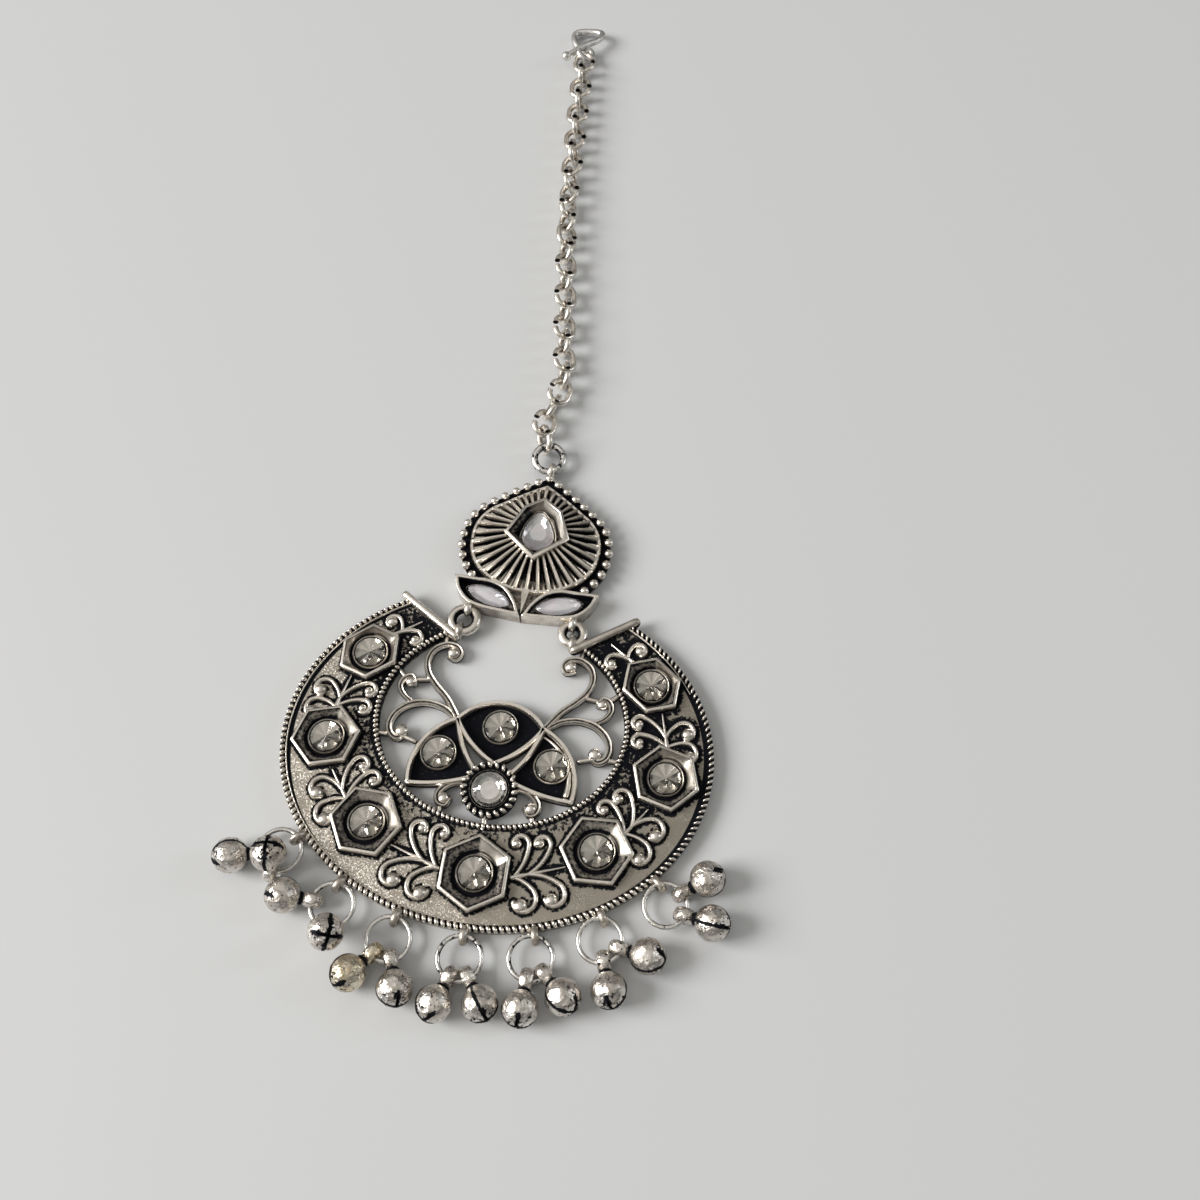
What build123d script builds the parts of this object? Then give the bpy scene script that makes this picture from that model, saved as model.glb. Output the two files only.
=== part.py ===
"""A maang tikka, the forehead jewel of oxidised silver, laid out flat on its back.

Millimetres, +Z up, the flat cast backs on Z = 0 and +Y along the chain.
The origin is on the back, at the centre of the crescent's outer rim.
"""
import math
import os

from build123d import *

# ---- crescent plate -------------------------------------------------------
RIM_A, RIM_B = 27.5, 22.8              # half axes of the outer rim
HOLE_A, HOLE_B, HOLE_Y = 15.6, 13.2, 3.5   # half axes and centre of the inner opening
ROPE_W, ROPE_TOP = 0.85, 2.0           # rope border, its width and its top
GROUND_TOP = 1.4                       # top of the plain sheet between the ornaments
TIP_OUT, TIP_IN = (15.3, 19.2), (7.95, 14.4)   # the bar that ends each horn
BAR_W, BAR_TOP = 0.9, 2.4
RELIEF_W, RELIEF_TOP = 0.5, 1.95       # scroll relief
BALL_R = 0.58                          # granule in the eye of each scroll
EYE_R = 0.95                           # how far a scroll's wire runs from its granule

# ---- stones ---------------------------------------------------------------
ROUND_R, ROUND_H = 2.0, 1.35           # round crystal
SEAT_GAP = 0.06                        # play between a stone and its setting
BEZEL_W = 0.28
CUP_TOP, CUP_FLOOR, CUP_WALL = 2.6, 1.0, 0.55
# one row for each hexagon cup: name, x, y, direction of one corner, reach to it, half width
CUPS = [
    ("rim_stone_1", -18.4, 10.6, 38, 4.3, 3.2),
    ("rim_stone_2", -21.5, -1.4, 195, 4.45, 3.75),
    ("rim_stone_3", -14.2, -11.5, 238, 4.6, 4.0),
    ("rim_stone_4", 0.0, -16.0, 270, 4.8, 4.1),
    ("rim_stone_5", 14.2, -11.5, 302, 4.6, 4.0),
    ("rim_stone_6", 21.5, -1.4, 345, 4.45, 3.75),
    ("rim_stone_7", 18.4, 10.6, 142, 4.3, 3.2),
]

# ---- filigree inside the opening (right half, mirrored to the left) --------
FRET_W, FRET_TOP = 0.62, 1.5
PETAL_FLOOR, PETAL_TOP = 0.7, 1.7
FORK = (5.5, 3.2)                      # where a side petal meets the top petal
PETAL_STONES = {"petal_stone_left": (-7.2, -1.5), "petal_stone_right": (7.2, -1.5),
                "petal_stone_top": (0.0, 2.8)}
BOSS_Y, BOSS_R, BOSS_TOP = -5.5, 3.4, 2.2    # beaded collar of the centre stone
CENTRE_R, CENTRE_H = 2.3, 1.2

# ---- crown plate ----------------------------------------------------------
CROWN_X, CROWN_TURN = 0.6, -2.0        # the crown hangs on loose links, a little off axis
CROWN_BASE, CROWN_RIM_TOP = 1.2, 2.3
RIDGE_W, GRANULE_OUT, GRANULE_R = 0.6, 1.45, 0.55
GRANULES = 27
KITE = [(0, 35.8), (-2.8, 33.9), (-4.45, 29.7), (0, 26.2), (4.45, 29.7), (2.8, 33.9)]
KITE_CENTRE = (0, 31.0)
KITE_TOP, KITE_FLOOR = 3.2, 1.5
RIBS, RIB_W, RIB_TOP = 36, 0.42, 2.1
LEAF_TOP, LEAF_FLOOR, LEAF_WALL = 2.5, 1.2, 0.6
PEAR_LONG, PEAR_WIDE, PEAR_Y = 6.0, 4.1, 30.7
MARQUISE_LONG, MARQUISE_WIDE = 6.2, 2.5
MARQUISE_AT, MARQUISE_TURN = (4.75, 20.2), 12.0

# ---- rings, bells and links ------------------------------------------------
LOOP_R, LOOP_WIRE = 0.85, 0.3          # small cast loops, centre line and wire radius
RING_R, RING_WIRE, RING_Z = 2.6, 0.25, 1.35
LOOP_OUT = 0.5                         # ring wire to the rim's edge
TIP_EYE, CROWN_EYE, APEX_EYE = (7.5, 15.25), (7.0, 18.25), (0, 41.0)
BELL_R, SLIT_W, SLIT_DEEP = 2.2, 0.35, 0.9
BAIL_LONG, BAIL_WIDE, BAIL_THICK, BAIL_WALL = 2.6, 2.2, 0.85, 0.55
BAIL_AT, BAIL_DIP = 3.5, 14.0         # bail from the bell's centre, and how far it dips
# one row for each rim loop: place round the rim, and the way its ring lies
RIM_LOOPS = [(218, 225), (235.5, 262), (252.7, 261), (270, 269), (287.3, 268), (304.7, 272),
             (322, 296)]
# one row for each bell: its ring, place on the ring, swing from straight out, lift
BELLS = [(1, 195, 0, -BAIL_DIP), (1, 262, -172, 66), (2, 175, 5, -BAIL_DIP), (2, 255, 67, 60),
         (3, 230, 0, -BAIL_DIP), (3, 290, 0, -BAIL_DIP), (4, 250, 0, -BAIL_DIP),
         (4, 305, 0, -BAIL_DIP), (5, 267, 0, -BAIL_DIP), (5, 320, -3, -BAIL_DIP),
         (6, 286, 2, -BAIL_DIP), (6, 345, 6, -BAIL_DIP), (7, 338, 12, -BAIL_DIP),
         (7, 42, -8, -BAIL_DIP)]

# ---- chain and hook --------------------------------------------------------
LINK_LONG, LINK_WIDE, LINK_WIRE = 4.5, 3.6, 0.35
LINK_PLAY = 0.15
HOOKED_IN = 0.42                       # a neighbour's wire, inside the joint of a link
PITCH = LINK_LONG - 4 * LINK_WIRE - LINK_PLAY
TOP_RING_WIRE = 0.38
CHAIN_ROUTE = [(-0.2, 44.4, 1.9), (-1.3, 47.6, 1.9), (-0.5, 51.4, 1.85), (0.5, 55.2, 1.85),
               (-0.1, 61.0, 1.85), (-1.1, 68.9, 1.85), (-2.5, 79.7, 1.85),
               (-3.7, 91.0, 1.85), (-4.5, 104.0, 1.7), (-5.2, 115.5, 1.6), (-5.4, 122.6, 1.6)]
HOOK_WIRE, HOOK_BALL = 0.42, 0.75
HOOK_EYE_R = 1.25         # the hook's eye for the chain, and its lean
HOOK_EYE_TILT = 25


LOW = (Align.CENTER, Align.CENTER, Align.MIN)


def bow(start, finish, rise):
    """A circular arc from start to finish that bulges to its left by rise."""
    (x0, y0), (x1, y1) = start, finish
    chord = math.hypot(x1 - x0, y1 - y0)
    if abs(rise) < 0.01:
        return Line(start, finish)
    middle = ((x0 + x1) / 2 - rise * (y1 - y0) / chord, (y0 + y1) / 2 + rise * (x1 - x0) / chord)
    return ThreePointArc(start, middle, finish)


def strip(edge, width):
    """A flat strip of one width along an arc, with round ends."""
    half = width / 2
    sides = []
    for sign in (half, -half):
        side = []
        for place in (0, 0.5, 1):
            point, along = edge.position_at(place), edge.tangent_at(place)
            side.append((point.X - sign * along.Y, point.Y + sign * along.X))
        sides.append(side)
    left, right = sides
    curve = Polyline if edge.geom_type == GeomType.LINE else ThreePointArc
    outline = [curve(*left), Line(left[2], right[2]), curve(*reversed(right)), Line(right[0], left[0])]
    ends = [edge.position_at(place) for place in (0, 1)]
    return [make_face(outline)] + [Pos(end.X, end.Y) * Circle(half) for end in ends]


def run(points, width):
    """Strips through points; each point after the first says how far its arc bulges."""
    faces = []
    for start, (x, y, rise) in zip(points, points[1:]):
        faces += strip(bow(start[:2], (x, y), rise), width)
    return faces


def scroll(start, eye, turn, width, radius=EYE_R, wrap=205, swell=22):
    """A scroll wire that sweeps round its eye and ends on it; turn is 1 for anticlockwise."""
    reach = math.dist(start, eye)
    back = math.degrees(math.atan2(start[1] - eye[1], start[0] - eye[0]))
    angle = back + turn * (math.degrees(math.acos(min(1, radius / reach))) + swell)
    touch = (eye[0] + radius * math.cos(math.radians(angle)),
             eye[1] + radius * math.sin(math.radians(angle)))
    chord = math.atan2(touch[1] - start[1], touch[0] - start[0])
    heading = math.radians(angle + 90 * turn)
    bend = math.atan2(math.sin(heading - chord), math.cos(heading - chord))
    rise = -math.dist(start, touch) / 2 * math.tan(bend / 2)
    sweep_in = bow(start, touch, rise)
    round_eye = CenterArc(eye, radius, angle, turn * wrap)
    end = round_eye.position_at(1)
    return strip(sweep_in, width) + strip(round_eye, width) + straight((end.X, end.Y), eye, width)


def raised(faces, low, high):
    """Solid metal over overlapping flat shapes, between two heights."""
    flat = Sketch() + faces
    return extrude(Pos(0, 0, low) * flat, amount=high - low, dir=(0, 0, 1))


def joined(groups):
    """One casting from groups of solids, fused group by group."""
    body = Part()
    for group in groups:
        body = body + group
    return body


def both_sides(faces):
    """The shapes and their mirror images across the object's axis."""
    return list(faces) + [mirror(face, about=Plane.YZ) for face in faces]


def hexagon(x, y, axis, reach, half):
    """A hexagon with two corners on its axis."""
    corners = [(reach, 0), (reach / 2, half), (-reach / 2, half),
               (-reach, 0), (-reach / 2, -half), (reach / 2, -half)]
    return Pos(x, y) * Rot(0, 0, axis) * Polygon(*corners, align=None)


def cup(x, y, axis, reach, half):
    """A hexagon cup with sloping inner walls and a round bezel on its floor."""
    outer = raised([hexagon(x, y, axis, reach, half)], CUP_FLOOR - 0.5, CUP_TOP)
    wide = hexagon(x, y, axis, reach - CUP_WALL * 1.15, half - CUP_WALL)
    narrow = hexagon(x, y, axis, reach - CUP_WALL * 2, half - CUP_WALL * 1.45)
    pocket = loft([Pos(0, 0, CUP_TOP + 0.01) * wide, Pos(0, 0, CUP_FLOOR) * narrow])
    return outer - pocket


def bezel(x, y, radius, floor, height):
    """The thin ring of metal round a stone."""
    inside = radius + SEAT_GAP
    ring = Circle(inside + BEZEL_W) - Circle(inside)
    return raised([Pos(x, y) * ring], floor, floor + height)


def cut_stone(outline, height, table=0.58, base=0.5):
    """A cut stone over a girdle outline: facets up to a flat table and down to its base."""
    girdle = height * 0.42
    rings = [(base, 0.0, 2), (1.0, girdle, 1), (1.0, girdle + height * 0.08, 1), (table, height, 2)]
    corners = []
    for size, level, step in rings:
        corners += [(px * size, py * size, level) for px, py in outline[::step]]
    return ConvexPolyhedron(corners)


def round_outline(radius, sides=16):
    """Girdle of a round stone."""
    turns = [2 * math.pi * k / sides for k in range(sides)]
    return [(radius * math.cos(t), radius * math.sin(t)) for t in turns]


def marquise_outline(length, width, sides=12):
    """Girdle of a boat-shaped stone, two arcs that meet in points."""
    turns = [2 * math.pi * k / sides for k in range(sides)]
    return [(length / 2 * math.cos(t), width / 2 * math.sin(t) * abs(math.sin(t)) ** 0.35)
            for t in turns]


def pear_outline(length, width, sides=14):
    """Girdle of a drop-shaped stone, its point towards +Y."""
    turns = [math.pi / 2 + 2 * math.pi * k / sides for k in range(sides)]
    return [(width / 2 * math.cos(t) * (1 - 0.38 * math.sin(t)), length / 2 * math.sin(t))
            for t in turns]


def standing_loop(x, y, z, facing, radius=LOOP_R, wire=LOOP_WIRE):
    """A small ring that stands on edge, its hole along the given direction in plan."""
    return Pos(x, y, z) * Rot(0, 90, facing) * Rot(0, 0, 40) * Torus(radius, wire)


def unit(angle):
    """Unit direction in plan."""
    return math.cos(math.radians(angle)), math.sin(math.radians(angle))


def rim_point(place, out):
    """A point beside the outer rim, at a distance out from its edge."""
    c, s = unit(place)
    normal = math.atan2(s / RIM_B, c / RIM_A)
    return (RIM_A * c + out * math.cos(normal), RIM_B * s + out * math.sin(normal),
            math.degrees(normal))


# ---- the crescent ----------------------------------------------------------
def horn_gap():
    """The space between the two horns."""
    (x1, y1), (x0, y0) = TIP_OUT, TIP_IN
    slope = (y1 - y0) / (x1 - x0)
    reach = 5.0
    cut = Polygon((x1 + reach, y1 + reach * slope), (x1 + reach, RIM_B + 10),
                  (-x1 - reach, RIM_B + 10), (-x1 - reach, y1 + reach * slope),
                  (0, y0 - x0 * slope), align=None)
    return cut


def crescent_bands():
    """Sheet, rope borders and the bars across the horns."""
    gap = horn_gap()
    hole = Pos(0, HOLE_Y) * Ellipse(HOLE_A, HOLE_B)
    outer_line = Ellipse(RIM_A, RIM_B) - Ellipse(RIM_A - ROPE_W, RIM_B - ROPE_W)
    inner_line = Pos(0, HOLE_Y) * (Ellipse(HOLE_A + ROPE_W, HOLE_B + ROPE_W) - Ellipse(HOLE_A, HOLE_B))
    sheet = raised([Ellipse(RIM_A, RIM_B) - hole - gap], 0, GROUND_TOP)
    ropes = raised([outer_line - gap, inner_line - gap], 0.5, ROPE_TOP)
    bars = raised(both_sides(straight(TIP_OUT, TIP_IN, BAR_W)), 0, BAR_TOP)
    return [sheet, ropes, bars]


def straight(start, finish, width):
    """A straight bar in plan with round ends."""
    middle = ((start[0] + finish[0]) / 2, (start[1] + finish[1]) / 2)
    angle = math.degrees(math.atan2(finish[1] - start[1], finish[0] - start[0]))
    slot = SlotCenterToCenter(math.dist(start, finish), width)
    return [Pos(*middle) * Rot(0, 0, angle) * slot]


# each scroll spray on the right half: root, tip of its stem, and the eyes of its scrolls,
# the first two towards the opening and the last two towards the outer rim
SPRAYS = [
    ((4.4, -15.7), (10.6, -13.8), [(4.5, -11.7), (7.1, -11.1), (6.1, -19.0), (9.6, -18.2)]),
    ((17.1, -9.0), (19.8, -5.5), [(14.8, -6.2), (15.9, -4.3), (19.4, -12.2), (21.7, -9.0)]),
    ((21.2, 2.6), (20.2, 6.9), [(17.9, 3.1), (17.8, 5.4), (24.6, 1.6), (24.2, 5.0)]),
    ((16.3, 13.1), (12.6, 16.4), [(13.4, 12.8), (16.7, 15.6)]),
]


def sprays():
    """The scroll relief: a pointed stem with scrolls to both sides."""
    wires, eyes = [], []
    for root, tip, centres in SPRAYS:
        wires += straight(root, tip, RELIEF_W)
        for number, eye in enumerate(centres):
            inward = number < len(centres) / 2
            share = 0.02 if number % 2 == 0 else 0.3
            start = tuple(a + (b - a) * share for a, b in zip(root, tip))
            wires += scroll(start, eye, 1 if inward else -1, RELIEF_W)
            eyes.append(eye)
    return wires, eyes


def horns_and_curls():
    """The openwork wires on the right of the petals."""
    eyes = [(7.7, 12.1), (12.4, 7.9), (12.6, 0.7), (5.4, -7.1)]
    horn = run([FORK, (8.7, 7.1, 0.25), (10.6, 9.9, -0.45)], FRET_W)
    horn += scroll((10.6, 9.9), (7.9, 12.0), 1, FRET_W, radius=1.15, wrap=215, swell=14)
    bough = run([FORK, (9.2, 4.9, -0.2), (13.6, 3.3, 0.75)], FRET_W)
    bough += scroll((13.6, 3.3), eyes[2], -1, FRET_W, radius=0.95, wrap=120, swell=10)
    twig = scroll((10.0, 4.95), eyes[1], 1, FRET_W, radius=1.05, wrap=190, swell=-8)
    low = scroll((3.0, -5.1), eyes[3], -1, FRET_W, radius=1.0, wrap=190, swell=25)
    ties = (straight((12.6, 0.7), (10.4, -0.3), 0.5) + straight((13.4, 0.6), (15.9, 0.6), 0.5)
            + straight((11.3, 8.1), (9.6, 8.5), 0.5) + straight((13.3, 8.4), (14.2, 9.2), 0.5)
            + straight((5.6, -8.1), (5.9, -9.5), 0.5) + straight((8.6, 13.2), (9.0, 14.9), 0.5))
    return horn + bough + twig + low + ties, eyes


def petal_edges():
    """Outlines of the top petal and the right petal, as arcs."""
    fx, fy = FORK
    top = [ThreePointArc((-fx, fy), (0, 6.0), (fx, fy)), bow((fx, fy), (0.15, -2.0), 0.55),
           bow((-0.15, -2.0), (-fx, fy), 0.55), Line((0.15, -2.0), (-0.15, -2.0))]
    side = [bow((fx, fy), (10.3, -5.8), 1.85), bow((10.3, -5.8), (2.9, -4.3), 0.35),
            bow((2.4, -3.0), (fx, fy), -0.45), Line((2.9, -4.3), (2.4, -3.0))]
    return top, side


def fret():
    """The openwork in the opening, joined to the inner rim."""
    top, side = petal_edges()
    floor_faces = [make_face(top)] + both_sides([make_face(side)])
    frames = []
    for edge in top[:3]:
        frames += strip(edge, FRET_W)
    for edge in side[:3]:
        frames += both_sides(strip(edge, FRET_W))
    wires, eyes = horns_and_curls()
    boss_ring = Pos(0, BOSS_Y) * Circle(BOSS_R)
    foot = straight((0, BOSS_Y - BOSS_R + 0.2), (0, HOLE_Y - HOLE_B - 0.3), 0.9)
    parts = [raised(both_sides(wires) + foot, 0, FRET_TOP),
             raised(floor_faces, 0, PETAL_FLOOR), raised(frames, 0, PETAL_TOP),
             raised([boss_ring], 0, BOSS_TOP)]
    balls = granules([(side * x, y) for x, y in eyes for side in (1, -1)], FRET_TOP - 0.3, 0.62)
    return parts, balls


def granules(places, height, radius):
    """Small solid balls."""
    return [Pos(x, y, height) * Sphere(radius) for x, y in places]


def rim_loops():
    """Cast loops that stand out from the rim, and the eye at each horn."""
    loops = []
    for place, _ in RIM_LOOPS:
        x, y, normal = rim_point(place, LOOP_OUT)
        loops.append(standing_loop(x, y, RING_Z, normal + 90))
    for side in (1, -1):
        x, y = TIP_EYE
        loops.append(standing_loop(side * x, y, RING_Z, 0 if side > 0 else 180))
    return loops


def crescent_plate():
    """The whole crescent casting."""
    wires, eyes = sprays()
    openwork, openwork_balls = fret()
    places = [(side * x, y) for x, y in eyes for side in (1, -1)]
    body = joined([crescent_bands()] + rim_loops())
    body = joined([body, [raised(both_sides(wires), 1.0, RELIEF_TOP)],
                   openwork, openwork_balls, granules(places, 1.55, BALL_R)])
    plugs = [hexagon(*row[1:]) for row in CUPS]
    body = body - raised(plugs, CUP_FLOOR - 0.5, CUP_TOP + 1)
    body = body + [cup(*row[1:]) for row in CUPS]
    body = body + [bezel(row[1], row[2], ROUND_R, CUP_FLOOR, 0.75) for row in CUPS]
    for x, y in PETAL_STONES.values():
        body = body - Pos(x, y, PETAL_FLOOR) * Cylinder(ROUND_R + SEAT_GAP, 4, align=LOW)
        body = body + bezel(x, y, ROUND_R, PETAL_FLOOR - 0.1, 0.8)
    body = body - Pos(0, BOSS_Y, PETAL_FLOOR) * Cylinder(CENTRE_R + SEAT_GAP, 4, align=LOW)
    return body


# ---- the crown -------------------------------------------------------------
def crown_place(shape):
    """Moves a shape from the crown's own axis to where the crown lies."""
    pivot = KITE_CENTRE[1]
    return Pos(CROWN_X, pivot, 0) * Rot(0, 0, CROWN_TURN) * Pos(0, -pivot, 0) * shape


def crown_point(x, y):
    """The same move for a point in plan."""
    c, s = unit(CROWN_TURN)
    dy = y - KITE_CENTRE[1]
    return CROWN_X + x * c - dy * s, KITE_CENTRE[1] + x * s + dy * c


def crown_outline(out):
    """The onion-shaped outline, at a distance out from the plain inner ridge."""
    wide, low, shoulder, top = 8.65 + out, 21.7 - out, 34.3 + out * 0.45, 38.1 + out * 1.2
    sweep = 5.7 + out * 0.85
    arcs = [EllipticalCenterArc((0, 28.4), wide, 28.4 - low, start_angle=180, arc_size=180)]
    right = [ThreePointArc((wide, 28.4), (wide * 0.93, 31.9 + out * 0.2), (sweep, shoulder)),
             bow((sweep, shoulder), (0, top), -0.12)]
    left = [ThreePointArc((-sweep, shoulder), (-wide * 0.93, 31.9 + out * 0.2), (-wide, 28.4)),
            bow((0, top), (-sweep, shoulder), -0.12)]
    return make_face(arcs + right + left)


def leaf_face(shrink):
    """One leaf of the base, towards +X, drawn in by shrink all round."""
    inner, tip = (0.2 + shrink * 1.2, 18.2 + shrink), (9.7 - shrink * 2.0, 22.5 - shrink * 0.9)
    over = (3.2 + shrink * 0.3, 21.9 - shrink * 1.1)
    upper = [bow(inner, over, 0.35), bow(over, tip, 0.1)]
    lower = ThreePointArc(tip, (6.3 - shrink * 0.3, 18.7 + shrink), inner)
    return make_face(upper + [lower])


def crown_ribs(ridge_inner):
    """Ribs that fan from the kite to the ridge."""
    bars = []
    for k in range(RIBS):
        angle = 360 * (k + 0.5) / RIBS
        bars.append(Pos(*KITE_CENTRE) * Rot(0, 0, angle) * Pos(6, 0) * Rectangle(12, RIB_W))
    kite = Polygon(*KITE, align=None)
    fan = (Sketch() + bars) & (ridge_inner - kite)
    return raised([fan], CROWN_BASE - 0.2, RIB_TOP)


def kite_cup():
    """The raised kite-shaped cup of the pear stone."""
    cx, cy = KITE_CENTRE

    def scaled(share):
        return Polygon(*[(cx + (x - cx) * share, cy + (y - cy) * share) for x, y in KITE], align=None)

    outer = raised([scaled(1.0)], 0.5, KITE_TOP)
    pocket = loft([Pos(0, 0, KITE_TOP + 0.01) * scaled(0.87), Pos(0, 0, KITE_FLOOR) * scaled(0.78)])
    return outer - pocket


def crown_plate():
    """The whole crown casting, on its own axis."""
    edge, ridge_out = crown_outline(GRANULE_OUT + 0.35), crown_outline(0.0)
    ridge_in = crown_outline(-RIDGE_W)
    leaves = both_sides([leaf_face(0)])
    heel = Polygon((-1.6, 19.0), (1.6, 19.0), (4.5, 23.5), (-4.5, 23.5), align=None)
    plates = [raised([edge, heel], 0, CROWN_BASE), raised(leaves, 0, LEAF_TOP),
              raised([ridge_out - ridge_in], 0.5, CROWN_RIM_TOP)]
    ribs = [crown_ribs(crown_outline(-RIDGE_W + 0.1))]
    beads = crown_outline(GRANULE_OUT).wire()
    count = GRANULES + 7
    spots = [beads.position_at((k + 0.5) / count) for k in range(count)]
    balls = granules([(p.X, p.Y) for p in spots if p.Y > 23.2], CROWN_BASE + 0.3, GRANULE_R)
    sepal = Polygon((0, 18.6), (0.45, 21.8), (-0.45, 21.8), align=None)
    eyes = [standing_loop(*APEX_EYE, RING_Z, 0)]
    for side in (1, -1):
        eyes.append(standing_loop(side * CROWN_EYE[0], CROWN_EYE[1], RING_Z, 0))
    body = joined([plates, ribs, [raised([sepal], 0.5, CROWN_RIM_TOP)], balls, eyes])
    body = body - raised(both_sides([leaf_face(LEAF_WALL)]), LEAF_FLOOR, LEAF_TOP + 1)
    body = body - raised([Polygon(*KITE, align=None)], 0.5, KITE_TOP + 1)
    return crown_place(body + kite_cup())


# ---- loose pieces ----------------------------------------------------------
def ring_through(first, second, wire, lean=0.0):
    """A round ring whose wire passes through two points, flat apart from its lean."""
    a, b = Vector(*first), Vector(*second)
    across = b - a
    normal = Vector(across.Y, -across.X, 0).normalized() * math.sin(math.radians(lean))
    normal = normal + Vector(0, 0, 1) * math.cos(math.radians(lean))
    side = across.cross(normal).normalized()
    upright = side.cross(across).normalized()
    return Plane((a + b) / 2, x_dir=across, z_dir=upright).location * Torus(across.length / 2, wire)


def bell():
    """A ghungroo bell on its bail: the bail points to +Z and its hole runs along X."""
    ball = Sphere(BELL_R)
    for slit in (Box(SLIT_W, 2 * BELL_R, SLIT_DEEP), Box(2 * BELL_R, SLIT_W, SLIT_DEEP)):
        ball = ball - Pos(0, 0, SLIT_DEEP / 2 - BELL_R) * slit
    eye = (SlotOverall(BAIL_LONG, BAIL_WIDE)
           - SlotOverall(BAIL_LONG - 2 * BAIL_WALL, BAIL_WIDE - 2 * BAIL_WALL))
    strap = extrude(eye, amount=BAIL_THICK / 2, both=True)
    strap = Pos(0, 0, BAIL_AT) * Rot(0, 90, 0) * strap
    neck = Pos(0, 0, BELL_R - 0.3) * Cylinder(0.6, 0.75, align=LOW)
    return ball + neck + strap


def ring_centre(number):
    """Centre of a jump ring, worked out from its loop and the way that it lies."""
    place, way = RIM_LOOPS[number - 1]
    x, y, _ = rim_point(place, LOOP_OUT)
    c, s = unit(way)
    return x + RING_R * c, y + RING_R * s


def bell_at(row):
    """Location of one bell, hung on its ring by the bail."""
    number, place, swing, lift = row
    cx, cy = ring_centre(number)
    c, s = unit(place)
    wire = Vector(cx + RING_R * c, cy + RING_R * s, RING_Z)
    along = Vector(-s, c, 0)
    dc, ds = unit(place + swing)
    cl, sl = unit(lift)
    flat = lift == -BAIL_DIP
    out = Vector(dc * cl, ds * cl, sl)
    distance = 3.3 + 0.4 * abs(math.sin(math.radians(swing))) if flat else 3.5
    centre = wire + out * distance
    if flat:
        centre = Vector(wire.X + dc * distance * cl, wire.Y + ds * distance * cl, BELL_R + 0.02)
        out = Vector(dc * cl, ds * cl, math.sin(math.radians(BAIL_DIP)))
    hole = along - out * along.dot(out)
    return Plane(centre, x_dir=hole, z_dir=out * -1).location


def link():
    """One oval chain link, long way along X, flat on XY."""
    path = SlotOverall(LINK_LONG - 2 * LINK_WIRE, LINK_WIDE - 2 * LINK_WIRE).wire()
    section = Plane(path @ 0, z_dir=path % 0) * Circle(LINK_WIRE)
    return sweep(section, path=path)


def chain_joints():
    """Points one pitch apart along the route, where links meet."""
    route = Spline(*CHAIN_ROUTE)
    count = math.ceil(route.length / PITCH)
    return [route.position_at(k / count) for k in range(count + 1)]


def chain():
    """The loose interlocked links of the chain, each turned a quarter to the one before."""
    joints = chain_joints()
    pattern = link()
    links = []
    for number, (a, b) in enumerate(zip(joints, joints[1:])):
        share = number / (len(joints) - 2)
        twist = 42 * max(0.0, min(1.0, (share - 0.45) / 0.3))
        roll = (90 - twist) if number % 2 == 0 else -twist
        along = (b - a).normalized()
        level = Vector(0, 0, 1).cross(along).normalized()
        normal = along.cross(level)
        c, s = unit(roll)
        facing = normal * c + level * s
        links.append(Plane((a + b) / 2, x_dir=along, z_dir=facing).location * pattern)
    return Compound(children=links)


def hook():
    """The hair hook: bent wire with an eye for the chain and a ball on its point."""
    end = chain_joints()[-1]
    x, y = end.X, end.Y
    centre = (x, y + HOOK_EYE_R - HOOKED_IN, end.Z)
    points = [(x - 0.9, y + 1.8, 1.85), (x - 2.3, y + 3.6, 0.75), (x - 2.6, y + 6.0, 0.8),
              (x + 0.6, y + 6.9, 1.0), (x + 2.3, y + 5.0, 1.4), (x - 0.9, y + 2.9, 2.35),
              (x - 3.3, y + 0.2, 2.2)]
    path = Spline(*points)
    wire = sweep(Plane(path @ 0, z_dir=path % 0) * Circle(HOOK_WIRE), path=path)
    tip = path @ 1
    eye = Pos(*centre) * Rot(0, HOOK_EYE_TILT, 0) * Torus(HOOK_EYE_R, HOOK_WIRE)
    return wire + [eye, Pos(tip) * Sphere(HOOK_BALL)]


def stones():
    """Every cut stone, seated just clear of its setting."""
    lift = 0.05
    crystal = cut_stone(round_outline(ROUND_R), ROUND_H)
    placed = {name: Pos(x, y, CUP_FLOOR + lift) * crystal for name, x, y, *_ in CUPS}
    for name, (x, y) in PETAL_STONES.items():
        placed[name] = Pos(x, y, PETAL_FLOOR + lift) * crystal
    centre = cut_stone(round_outline(CENTRE_R), CENTRE_H + 0.6, table=0.72, base=0.8)
    placed["centre_stone"] = Pos(0, BOSS_Y, PETAL_FLOOR + lift) * centre
    pear = cut_stone(pear_outline(PEAR_LONG, PEAR_WIDE), 1.3, table=0.7, base=0.7)
    placed["crown_stone"] = crown_place(Pos(0, PEAR_Y, KITE_FLOOR + lift) * pear)
    boat = cut_stone(marquise_outline(MARQUISE_LONG, MARQUISE_WIDE), 1.1, table=0.6, base=0.7)
    for side, name in ((1, "leaf_stone_right"), (-1, "leaf_stone_left")):
        x, y = MARQUISE_AT
        seat = Pos(side * x, y, LEAF_FLOOR + lift) * Rot(0, 0, side * MARQUISE_TURN)
        placed[name] = crown_place(seat * boat)
    return placed


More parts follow.
